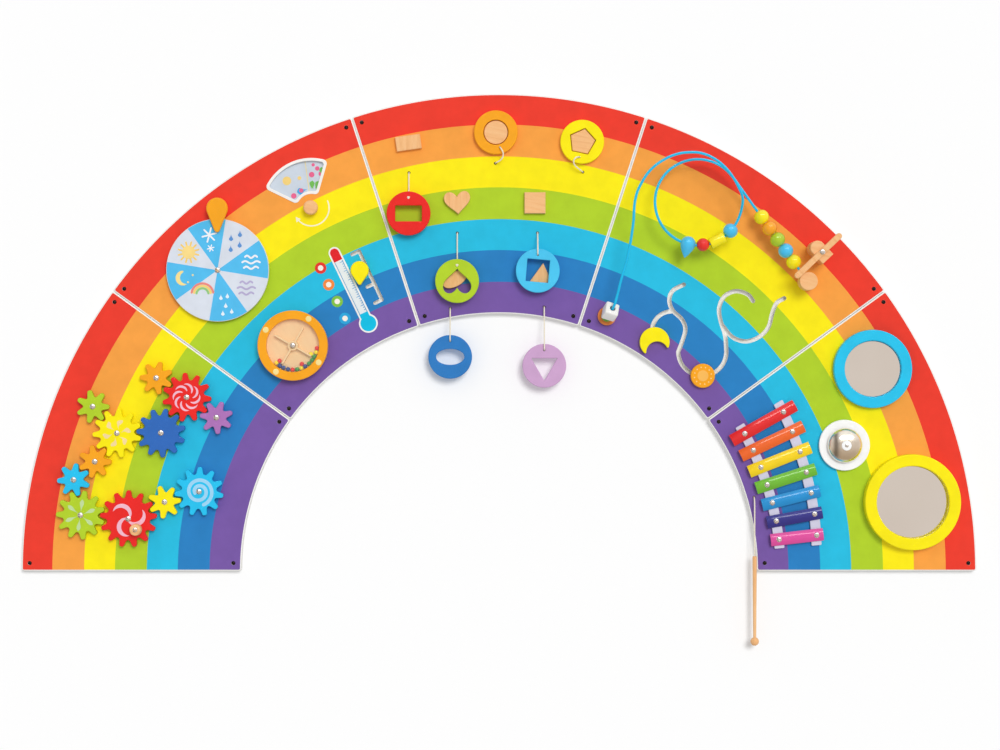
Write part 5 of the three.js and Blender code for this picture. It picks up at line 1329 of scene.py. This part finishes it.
def string_curve(name, route, body, node):
    """A cord through its route's points."""
    made = bent_rod(name, route, STRING_RADIUS)
    made.data.materials.append(cotton)
    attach(made, body)
    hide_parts(node)


def route_from(hole, points):
    """Route points given from a hole in the board: to the right, up and out from its face."""
    return [out(hole + Vector((x, 0, z)), h) for x, z, h in points]


def behind_ring(drop, eye_end):
    """Down behind a ring and forward into its eye."""
    points = [(0, 0, -STRING_TAIL), (0, 0, -STRING_TAIL / 2), (0, 0, 0)]
    for turn in (22.5, 45, 67.5, 90):
        t = math.radians(turn)
        points.append((0, -STRING_BEND * (1 - math.cos(t)), STRING_BEND * math.sin(t)))
    points += [(0, -drop * share, STRING_BEND) for share in (0.3, 0.5, 0.7)]
    for turn in (0, 22.5, 45, 67.5, 90):
        t = math.radians(turn)
        points.append((0, -drop + STRING_BEND * (1 - math.sin(t)), STRING_BEND * (2 - math.cos(t))))
    return points + [(0, -drop, eye_end)]


def before_ring(drop, ring_back):
    """Down over the front of a ring and back into its eye."""
    front = ring_back + RING_THICK
    top, low = Vector(BEFORE_TOP), Vector((BEFORE_LOW[0] - drop, BEFORE_LOW[1] + front))
    points = [(0, 0, -STRING_TAIL), (0, 0, -STRING_TAIL / 2), (0, 0, 1 * MM)]
    points += [(0, *top.lerp(low, share)) for share in (0, 0.2, 0.4, 0.6, 0.8, 1.0)]
    for turn in (0, 30, 60, 90):
        t = math.radians(turn)
        points.append((0, -drop + STRING_BEND * (1 - math.sin(t)),
                       front - 1 * MM + STRING_BEND * math.cos(t)))
    return points + [(0, -drop, front - EYE_DEPTH), (0, -drop, ring_back + STRING_RADIUS)]


def ring_string(name, points, body):
    """A ring's string on its route from its hole."""
    string_curve("ring_string_" + name, route_from(STRING_SPOTS[name], points), body, "string_" + name)


ring_backs = {name: board_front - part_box("ring_" + name)[1].y for name in RINGS}
for name, drop in BEHIND_DROPS.items():
    points = behind_ring(drop, ring_backs[name] + RING_THICK - STRING_RADIUS)
    ring_string(name, points, "string_" + name)
for name, drop in BEFORE_DROPS.items():
    ring_string(name, before_ring(drop, ring_backs[name]), "string_" + name)
for name, (peg, eye, curl) in CURLS.items():
    shift = along(PEGS[peg][0], eye, EYE_OFFSET) - STRING_SPOTS[name]
    points = [Vector((x, z, h)) * MM for x, z, h in CURL_START + curl]
    points += [Vector((shift.x, shift.z, height)) for height in CURL_END]
    ring_string(name, flowing(points, 2), "ring_" + name)


def tube(route, radius, sides=4, steps=6):
    """A bent rod as a solid."""
    bent = bent_rod("rod", route, radius, sides, steps)
    skin = bpy.data.meshes.new_from_object(bent.evaluated_get(bpy.context.evaluated_depsgraph_get()))
    bm = bmesh.new()
    bm.from_mesh(skin)
    bpy.data.meshes.remove(skin)
    bpy.data.objects.remove(bent)
    bmesh.ops.remove_doubles(bm, verts=bm.verts[:], dist=MERGE)
    return bm


def knot(place):
    """A pulled trefoil of the same cotton."""
    loop = []
    for k in range(25):
        t = 2 * math.pi * k / 24
        bend = Vector((math.sin(t) + 2 * math.sin(2 * t), -math.sin(3 * t),
                       math.cos(t) - 2 * math.cos(2 * t)))
        loop.append(place + bend * KNOT_TURN)
    return tube(loop, KNOT_STRAND, 2, 2)


board_knots = [knot(out(place, -KNOT_DEPTH)) for place in STRING_SPOTS.values()]
piece("board_knots", joined(*board_knots), cotton, "cotton_string")
for name, eye in ring_eyes.items():
    low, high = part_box("ring_" + name)
    level = low.y - KNOT_PROUD if name in BEHIND_DROPS else high.y
    made = knot(Vector((eye.x, level, eye.z)))
    piece("ring_knot_" + name, made, cotton, "cotton_string", body="ring_" + name)
# Dark linings in the string holes: painted shade for the shadow inside each hole.
edges = [turned(HOLE_SHADE_LINING, out(place, 0), steps=24) for place in STRING_SPOTS.values()]
piece("string_hole_shade_linings", joined(*edges), painted("painted_hole_shade", ink(70, 52, 46), 0.3), "printed_board")


# Bead maze. One blue coated wire stands in a painted foot, climbs, makes a turn and ends in a beech post. A
# loose white cube, five round beads and four loop pieces run on it.
WIRE_RADIUS = 2.5 * MM
COAT_WEAR = 0.1
COAT_RELIEF = 0.03
FOOT_SPOT = spot(67.1, 0.088)
LOOP_SPOT = spot(61.78, 0.724)
POST_SPOT = spot(43.36, 0.743)
LOOP_RADIUS = 78.4 * MM
LOOP_HEIGHT = 46
LOOP_START = 65
LOOP_FALLS = [(19, -12, 28), (12, 150, 250)]
LOOP_STEP = 12
CUBE_AXIS = Vector((0.2966, -0.8387, 0.4568))
CUBE_REACH = 28.703 * MM
CLIMB = [(16.8, 38, 53), (22.8, 63.6, 59), (34.2, 104.8, 65), (43.8, 162.2, 70)]
OVER = [(-114.6, 8.8, 73), (-103.8, 33.9, 73), (-87.7, 56.4, 73), (-64.7, 73.8, 73), (-41.8, 83.7, 73),
        (-18.8, 87.1, 73), (4.1, 85.3, 73), (27.1, 75.1, 73), (45.6, 60.3, 71.8), (59.6, 43.1, 70.6),
        (70.1, 25, 69.4)]
WIRE_FOOT = 21 * MM
WIRE_RISE = (9 * MM, 13.5 * MM, 18 * MM)
ROW_HEIGHT = 34 * MM
ROW_END = 7.5 * MM
FOOT_DISC = sized((0, -0.5), (17, -0.5), (17, 6), (17, 8), (14.5, 8), (0, 8))
FOOT_BEAD = sized((2.8, 7.5), (9, 7.5), (10.5, 9.5), (10.5, 16), (9, 18), (2.8, 18), (2.8, 7.5))
POST = sized((0, -0.5), (16.5, -0.5), (16.5, 44), (16.5, 48), (14, 48), (0, 48))


def coated(name, colour, gloss=0.9):
    """Hard enamel or lacquer under a bright coat."""
    return painted(name, colour, COAT_WEAR, COAT_RELIEF, gloss)


def smooth_step(value, low, high):
    """Nought below a low value, one above a high one, and a smooth rise between them."""
    t = min(1, max(0, (value - low) / (high - low)))
    return t * t * (3 - 2 * t)


def loop_height(angle):
    """The wire's height over the board at an angle of its loop: it falls, runs level and falls again."""
    fallen = sum(fall * smooth_step(-angle, first, last) for fall, first, last in LOOP_FALLS)
    return (LOOP_START - fallen) * MM


def from_spot(place, x, z, height):
    """A place given in millimetres to the right, up and out from another."""
    return out(place + Vector((x * MM, 0, z * MM)), height * MM)


wire_route = [out(FOOT_SPOT, height) for height in WIRE_RISE]
wire_route += [out(FOOT_SPOT, WIRE_FOOT) + CUBE_AXIS * CUBE_REACH * share for share in (0.2, 0.6, 1.15)]
wire_route += [from_spot(FOOT_SPOT, *point) for point in CLIMB]
wire_route += [from_spot(LOOP_SPOT, *point) for point in OVER]
to_post = POST_SPOT - LOOP_SPOT
exit_angle = math.degrees(math.atan2(to_post.z, to_post.x) + math.acos(LOOP_RADIUS / to_post.length)) - 360
turn = 5
while turn > exit_angle + LOOP_STEP:
    wire_route.append(out(along(LOOP_SPOT, turn, LOOP_RADIUS), loop_height(turn)))
    turn -= LOOP_STEP
row_start = out(along(LOOP_SPOT, exit_angle, LOOP_RADIUS), ROW_HEIGHT)
row_way = (out(POST_SPOT, ROW_HEIGHT) - row_start).normalized()
row_end = out(POST_SPOT, ROW_HEIGHT) - row_way * ROW_END
wire_route += [row_start.lerp(row_end, share) for share in (0, 0.1, 0.3, 0.6, 0.9, 1)]
wire_coat = coated("wire_coat", ink(8, 193, 240), 0.6)
piece("bead_wire_rod", tube(wire_route, WIRE_RADIUS), wire_coat, "coated_wire", "bead_wire")
foot_orange = painted("foot_orange", ink(240, 140, 70))
foot_green = painted("foot_green", ink(120, 186, 70))
piece("wire_foot_disc", turned(rounded(FOOT_DISC), out(FOOT_SPOT, 0)), foot_orange, "orange_paint")
piece("wire_foot_bead", turned(rounded(FOOT_BEAD), out(FOOT_SPOT, 0)), foot_green, "lime_paint")
piece("wire_post", turned(rounded(POST), out(POST_SPOT, 0)), beech_level, "natural_beech")

CUBE_SIDE = 25 * MM
CUBE_EDGE = 3 * MM
CUBE_BORE = 5.5 * MM
CUBE_TURN = -14


def middle(node):
    """The middle of a node's box."""
    low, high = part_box(node)
    return (low + high) / 2


def rod(radius, half):
    """Profile of a plain rod, as a cutter for a bore."""
    return [(0, -half), (radius, -half), (radius, half), (0, half)]


cube = bmesh.new()
bmesh.ops.create_cube(cube, size=CUBE_SIDE)
ease(cube, cube.edges[:], CUBE_EDGE, 4)
cube = cut(cube, [turned(rod(CUBE_BORE, CUBE_SIDE), Vector(), (0, 0, 1), 32)])
upright = Matrix.Rotation(math.radians(90), 4, "X")
lean = Vector((0, 0, 1)).rotation_difference(upright.inverted() @ CUBE_AXIS).to_matrix().to_4x4()
spin = Matrix.Rotation(math.radians(CUBE_TURN), 4, "Z")
cube_stand = Matrix.Translation(middle("wire_cube")) @ upright @ lean @ spin
bmesh.ops.transform(cube, matrix=cube_stand, verts=cube.verts[:])
piece("wire_cube_block", cube, satin["white"], "white_paint", "wire_cube", body="wire_cube")

BEAD_COLOURS = {"yellow": PAINTS["yellow"], "blue": ink(70, 198, 246), "lime": ink(182, 214, 44),
                "orange": PAINTS["orange"], "red": PAINTS["red"]}
ROW_COLOURS = ["yellow", "blue", "lime", "orange", "yellow"]
LOOP_BORE = 3.8 * MM
LOOP_INSET = 0.43 * MM
BORE_FLAT = 1 * MM
CYLINDER = sized((3.8, -14.25), (9.5, -14.25), (10.2, -14), (10.5, -13.3), (10.5, 13.3), (10.2, 14),
                 (9.5, 14.25), (3.8, 14.25), (3.8, -14.25))
DROP = sized((0, 26.5), (0.9, 25.6), (4.1, 21.7), (7.6, 16.4), (10.8, 11.1), (12.9, 5.5), (13.8, 0),
             (13.3, -3.9), (11.6, -7.6), (8.9, -10.6), (6.2, -12.4), (3.1, -13.5), (0, -13.8))
DROP_ANGLE = -104
DROP_CUT = 20 * MM
glossy = {name: coated("bead_" + name, colour) for name, colour in BEAD_COLOURS.items()}


def round_bead(radius, bulge, length, bore, steps=14):
    """Profile of a bead: part of an oval, with flats at the bore."""
    half = length / 2
    heights = [half * (2 * i / steps - 1) for i in range(steps + 1)]
    profile = [(radius * math.sqrt(1 - (h / bulge) ** 2), h) for h in heights]
    return [(bore, -half)] + profile + [(bore, half), (bore, -half)]


def on_loop(angle):
    """The place and the way along the wire for a piece at an angle of the loop."""
    place = out(along(LOOP_SPOT, angle, LOOP_RADIUS - LOOP_INSET), LOOP_HEIGHT * MM)
    return place, heading(angle - 90)


def ball_profile(radius):
    """Profile of a ball on the loop."""
    return round_bead(radius, radius, 2 * math.sqrt(radius ** 2 - (LOOP_BORE + BORE_FLAT) ** 2), LOOP_BORE)


row_bead = round_bead(13.8 * MM, 13.6 * MM, 24.6 * MM, 3.1 * MM)
for k, colour in enumerate(ROW_COLOURS):
    node = "row_bead_%d" % (k + 1)
    piece(node + "_ball", turned(row_bead, middle(node), row_way), glossy[colour], colour + "_paint", node,
          body=node)
for node, angle, profile, colour in [("loop_ball_blue", -42, ball_profile(13.4 * MM), "blue"),
                                     ("loop_cylinder", -63.9, CYLINDER, "yellow"),
                                     ("loop_ball_red", -84, ball_profile(12.1 * MM), "red")]:
    piece(node + "_turned", turned(profile, *on_loop(angle)), glossy[colour], colour + "_paint", node,
          body=node)
place, way = on_loop(DROP_ANGLE)
drop = turned(DROP, place, heading(DROP_ANGLE))
bore = turned(rod(LOOP_BORE, DROP_CUT), place, way, 31)
piece("loop_drop_turned", cut(drop, [bore]), glossy["blue"], "blue_paint", "loop_drop", body="loop_drop")


# Propeller. A round-ended beech blade turns on a screw. The screw goes into a beech block with one round end,
# which is glued to the board.
PROP_SPOT = pivot("propeller_turn")
PROP_ANGLE = 43.5
PROP_HALF = 5.5 * MM
PROP_TAIL = 67 * MM
PROP_NOSE = 47 * MM
PROP_ROUND = 1.4 * MM
PROP_BORE = 3.5 * MM
PIN_RADIUS = 3 * MM
PIN_PROUD = 0.8 * MM
BLADE_GAP = 0.5 * MM
BLOCK_HALF = 13 * MM
BLOCK_HEAD = 11 * MM
BLOCK_HEEL = 17 * MM
BLOCK_TURN = PROP_ANGLE - 90
PAN_SCREW = 5 * MM
prop_low, prop_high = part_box("propeller")
tail = along(PROP_SPOT, PROP_ANGLE + 180, PROP_TAIL - PROP_HALF)
nose = along(PROP_SPOT, PROP_ANGLE, PROP_NOSE - PROP_HALF)
blade = plate(capsule(tail, nose, PROP_HALF), prop_high.y, prop_low.y, PROP_ROUND)
bore = drill(PROP_SPOT, PROP_BORE, 0, prop_low.y - 5 * THROUGH, 24)
piece("propeller_blade", cut(blade, [bore]), beech("blade_wood", 46.5), "natural_beech", "propeller",
      body="propeller")
head = along(PROP_SPOT, BLOCK_TURN + 180, BLOCK_HEAD)
heel = along(PROP_SPOT, BLOCK_TURN, BLOCK_HEEL)
side = along(Vector(), BLOCK_TURN + 90, BLOCK_HALF)
outline = around(head, BLOCK_HALF, BLOCK_TURN + 90, BLOCK_TURN + 270, 24) + [heel - side, heel + side]
block = plate(outline, board_front - GLUE, prop_high.y + BLADE_GAP, PROP_ROUND)
pin = plate(around(PROP_SPOT, PIN_RADIUS, steps=24), prop_high.y + 2 * BLADE_GAP, prop_low.y - PIN_PROUD)
piece("propeller_stand", joined(block, pin), beech_level, "natural_beech", "propeller_block")
piece("propeller_screw", screw_head(PAN_SCREW, Vector((PROP_SPOT.x, prop_low.y - PIN_PROUD, PROP_SPOT.z))),
      bright_steel, "bell_nickel")


# Sun and moon sliders. Plates of painted ply on stems, whose feet run in the wider channel behind the slots.
# The sun has a printed middle and a ring of dots.
SLIDER_THICK = 11 * MM
SUN_RADIUS = 22.2 * MM
SUN_ROUND = 1.8 * MM
SUN_MIDDLE = 10 * MM
SUN_DOTS = 15.6 * MM
SUN_DOT = 1.3 * MM
MOON_RADIUS = 27.3 * MM
MOON_ROUND = 1.1 * MM
MOON_CUT = 20 * MM
MOON_SHIFT = 19.4 * MM
MOON_TURN = -76
HORN_TIP = 1.9 * MM
slider_face = slider_back - SLIDER_THICK
sun_spot = along(SUN_ARC, 270, SUN_ARC_RADIUS)
sun = plate(around(sun_spot, SUN_RADIUS, steps=72), slider_back, slider_face, SUN_ROUND)
piece("sun_slider_disc", joined(sun, slider_stem(sun_spot, GROOVE_HALF)), satin["orange"], "orange_paint",
      "sun_slider", body="sun_slider")
dots = [around(along(sun_spot, 30 * k + 12, SUN_DOTS), SUN_DOT, steps=16) for k in range(12)]
printed("sun_middle", [around(sun_spot, SUN_MIDDLE)], slider_face, ink(253, 190, 92), "sun_slider")
printed("sun_dots", dots, slider_face, ink(254, 214, 140), "sun_slider")
moon_stem = along(MOON_ARC, 192, MOON_ARC_RADIUS)
moon_spot = along(moon_stem, MOON_TURN + 180, (MOON_CUT - MOON_SHIFT - MOON_RADIUS) / 2)
cut_spot = along(moon_spot, MOON_TURN, MOON_SHIFT)
horn_reach, cut_reach = MOON_RADIUS - HORN_TIP, MOON_CUT + HORN_TIP
reach = (horn_reach ** 2 - cut_reach ** 2 + MOON_SHIFT ** 2) / (2 * MOON_SHIFT)
open_half = math.degrees(math.acos(reach / horn_reach))
cut_half = math.degrees(math.acos((MOON_SHIFT - reach) / cut_reach))
low_horn = along(moon_spot, MOON_TURN - open_half, horn_reach)
high_horn = along(moon_spot, MOON_TURN + open_half, horn_reach)
horns = (around(moon_spot, MOON_RADIUS, MOON_TURN + open_half, MOON_TURN + 360 - open_half, 48)
         + around(low_horn, HORN_TIP, MOON_TURN - open_half, MOON_TURN + cut_half, 8)[1:]
         + around(cut_spot, MOON_CUT, MOON_TURN + 180 + cut_half, MOON_TURN + 180 - cut_half, 32)[1:]
         + around(high_horn, HORN_TIP, MOON_TURN - cut_half, MOON_TURN + open_half, 8)[1:-1])
moon = plate(horns, slider_back, slider_face, MOON_ROUND)
piece("moon_slider_plate", joined(moon, slider_stem(moon_stem, GROOVE_HALF)), satin["yellow"], "yellow_paint",
      "moon_slider", body="moon_slider")


# Xylophone. Seven arched bars of sheet steel, each enamelled in its own colour, lie across two pale rails.
# Each is held by two screws.
BAR_FIRST = 29.35
BAR_STEP = 3.79
BAR_START = 16
BAR_CREEP = 1.95
BAR_LENGTH = 133
BAR_SHORTER = 6
BAR_WIDTH = 22.5 * MM
BAR_HEIGHT = 7 * MM
BAR_SHELL = 1.8 * MM
BAR_EDGE = 0.5 * MM
BAR_SINK = 0.2 * MM
RAIL_HEIGHT = 6.3 * MM
RAIL_HALF = 9.25 * MM
RAIL_ROUND = 1 * MM
RAIL_CORNER = 2 * MM
RAIL_OVERHANG = 1.9
RAIL_STEPS = 32
RAILS = {"rail_inner": (43, 0), "rail_outer": (124, 2)}
BAR_COLOURS = [("red", ink(232, 30, 36)), ("orange", ink(243, 102, 30)), ("yellow", ink(252, 216, 10)),
               ("green", ink(112, 188, 48)), ("sky", ink(10, 146, 214)), ("navy", ink(40, 40, 132)),
               ("pink", ink(228, 76, 160))]


def rail_radius(rail, k):
    """How far a rail lies from the arch's centre under a bar."""
    first, closer = RAILS[rail]
    return BOARD_INNER + (first - closer * k) * MM


steps = [i / 6 - 1 for i in range(13)]
arch = [(t * BAR_WIDTH / 2, BAR_HEIGHT * (1 - 0.6 * t * t)) for t in steps]
section = arch + [(x * 0.9, h - BAR_SHELL) for x, h in arch[::-1]]
bar_screws = []
for k, (name, colour) in enumerate(BAR_COLOURS):
    angle = BAR_FIRST - BAR_STEP * k
    way = heading(angle)
    foot = out(along(ARCH, angle, BOARD_INNER + (BAR_START + BAR_CREEP * k) * MM), RAIL_HEIGHT)
    bar = bmesh.new()
    bar.faces.new([bar.verts.new(foot + beside(way) * x + Vector((0, -h, 0))) for x, h in section])
    draw_out(bar, way * (BAR_LENGTH - BAR_SHORTER * k) * MM)
    ease_ends(bar, way, BAR_EDGE, 2)
    nodes = ["xylophone"] if k == 0 else []
    piece("bar_" + name, bar, coated("enamel_" + name, colour), "bar_metal", *nodes)
    for rail in RAILS:
        top = out(along(ARCH, angle, rail_radius(rail, k)), RAIL_HEIGHT + BAR_HEIGHT - BAR_SINK)
        bar_screws.append(screw_head(PAN_SCREW, top))
piece("bar_screws", joined(*bar_screws), bright_steel, "bell_nickel")
rail_paint = painted("rail_paint", ink(214, 212, 232), 0.2)
rail_sweep = (len(BAR_COLOURS) - 1) * BAR_STEP + 2 * RAIL_OVERHANG
for name in RAILS:
    pairs = []
    for i in range(RAIL_STEPS + 1):
        sweep = rail_sweep * i / RAIL_STEPS - RAIL_OVERHANG
        radius = rail_radius(name, sweep / BAR_STEP)
        pairs.append([along(ARCH, BAR_FIRST - sweep, radius + half) for half in (RAIL_HALF, -RAIL_HALF)])
    rail = plate(both_sides(pairs), board_front - GLUE, board_front - RAIL_HEIGHT, RAIL_ROUND,
                 corners=RAIL_CORNER)
    piece(name, rail, rail_paint, "white_paint")


# Bell. A spun nickel dome stands clear of a white turned plate, so that it rings. A post, a white washer and
# a screw hold it at its top.
BELL_SPOT = spot(20.11, 0.498)
BELL_RADIUS = 32 * MM
BELL_HEIGHT = 20 * MM
BELL_RIM = 13.3 * MM
BELL_WALL = 1.4 * MM
BELL_TOP = BELL_RIM + BELL_HEIGHT
BELL_SCREW = 3.6 * MM
BELL_SCREW_RISE = 1.5 * MM
BELL_PLATE = sized((0, 0.3), (46.5, 0.3), (46.5, 6), (46.5, 9.3), (43, 9.3), (6, 9.3))
BELL_POST = sized((5, 9.3), (5, 30), (0, 30))
WASHER = sized((0, -1.5), (9, -1.5), (9.2, 0.6), (8, 1.4), (0, 1.6))
NICKEL = (0.93, 0.86, 0.76, 1)


def dome(radius, height):
    """Profile of a dome from its rim nearly to its top."""
    turns = [math.radians(4 * i) for i in range(22)]
    return [(radius * math.cos(t), BELL_RIM + height * math.sin(t)) for t in turns]


bell_white = painted("bell_white", ink(255, 255, 254), 0.1)
piece("bell_base", turned(rounded(BELL_PLATE) + BELL_POST, out(BELL_SPOT, 0), steps=80), bell_white,
      "bell_plate_white", "bell_plate")
shell = dome(BELL_RADIUS, BELL_HEIGHT)
lining = dome(BELL_RADIUS - BELL_WALL, BELL_HEIGHT - BELL_WALL)
piece("bell_shell", turned(shell + lining[::-1] + shell[:1], out(BELL_SPOT, 0), steps=80),
      metal("nickel", NICKEL, 0.2, 0.28, 0.02), "bell_nickel", "bell_dome")
piece("bell_washer", turned(rounded(WASHER), out(BELL_SPOT, BELL_TOP)), bell_white, "bell_plate_white")
piece("bell_screw", screw_head(BELL_SCREW, out(BELL_SPOT, BELL_TOP + BELL_SCREW_RISE)), bright_steel,
      "bell_nickel")


# Mirrors. Two thick turned rings are painted and fixed to the board. A round of polished plastic mirror is
# set on the floor of each.
MIRROR_FOOT = 0.3
MIRROR_FLOOR = 5.3
MIRROR_ROUND = 5
GLASS_BACK = 5.1
GLASS_EDGE = 6.1
GLASS_FACE = 6.7
SILVER = [(0.3, (0.90, 0.88, 0.86, 1)), (0.7, (0.95, 0.94, 0.93, 1))]
mirror_sky = painted("mirror_sky", ink(38, 198, 240))
MIRRORS = [("mirror_small", spot(28.5, 0.757), 71.5, 51.5, 15.3, mirror_sky, "sky_paint"),
           ("mirror_large", spot(9.59, 0.728), 87.5, 66, 22.3, satin["yellow"], "yellow_paint")]
mirror_face, tree = new_material("mirror_face")
ripple = noise(tree, on_piece(tree), 9.0, 1.0)
surface(ramp(tree, ripple, SILVER), spread(tree, ripple, 0.02, 0.06), ripple, 0.02, 0.1 * MM, Metallic=1.0)
for name, centre, radius, opening, height, paint, slot in MIRRORS:
    ring = sized((radius, MIRROR_FOOT), (radius, height - MIRROR_ROUND), (radius, height),
                 (radius - MIRROR_ROUND, height), (opening + MIRROR_ROUND, height), (opening, height),
                 (opening, height - MIRROR_ROUND), (opening, MIRROR_FLOOR))
    profile = sized((0, MIRROR_FOOT)) + rounded(ring, 3) + sized((0, MIRROR_FLOOR))
    piece(name + "_frame", turned(profile, out(centre, 0), steps=112), paint, slot, name)
    glass = sized((0, GLASS_BACK), (opening - 0.2, GLASS_BACK), (opening - 0.2, GLASS_EDGE),
                  (opening - 1, GLASS_FACE), (0, GLASS_FACE))
    piece(name + "_glass", turned(glass, out(centre, 0), steps=96), mirror_face, "bell_nickel")


# Mallet. A tapered beech stick with a ball end. It hangs on a cotton string that goes through a hole in the
# board and into the end of the stick.
MALLET_HOLE = STRING_SPOTS["mallet"]
MALLET_DROP = 107 * MM
MALLET_LIFT = 10 * MM
BALL_END = 7.8 * MM
BALL_DROP = -156 * MM
STICK = sized((0, -4), (2, -4), (2.1, -0.3), (2.8, -0.3), (3.8, -1.2), (4, -4), (2.8, -148.6))
FALL = [(0, 0, -9), (0, 0, -4.5), (0, 0, 1), (0, -3.6, 6), (0, -8.5, 8.8), (0, -15, 10)]
FALL += [(0, -15 - 92.9 * share, 10) for share in (0.12, 0.25, 0.4, 0.5, 0.6, 0.7, 0.8, 0.9, 1.0)]
turns = [math.radians(66 - 13 * i) for i in range(12)]
ball = [(BALL_END * math.cos(t), BALL_DROP + BALL_END * math.sin(t)) for t in turns]
ball.append((0, BALL_DROP - BALL_END))
mallet_top = out(MALLET_HOLE - Vector((0, 0, MALLET_DROP)), MALLET_LIFT)
piece("mallet_stick", turned(STICK + ball, mallet_top, (0, 0, 1)), beech_upright, "natural_beech", "mallet",
      body="mallet")
fall_route = route_from(MALLET_HOLE, [(x * MM, z * MM, h * MM) for x, z, h in FALL])
string_curve("mallet_cord", fall_route, "mallet_string", "mallet_string")
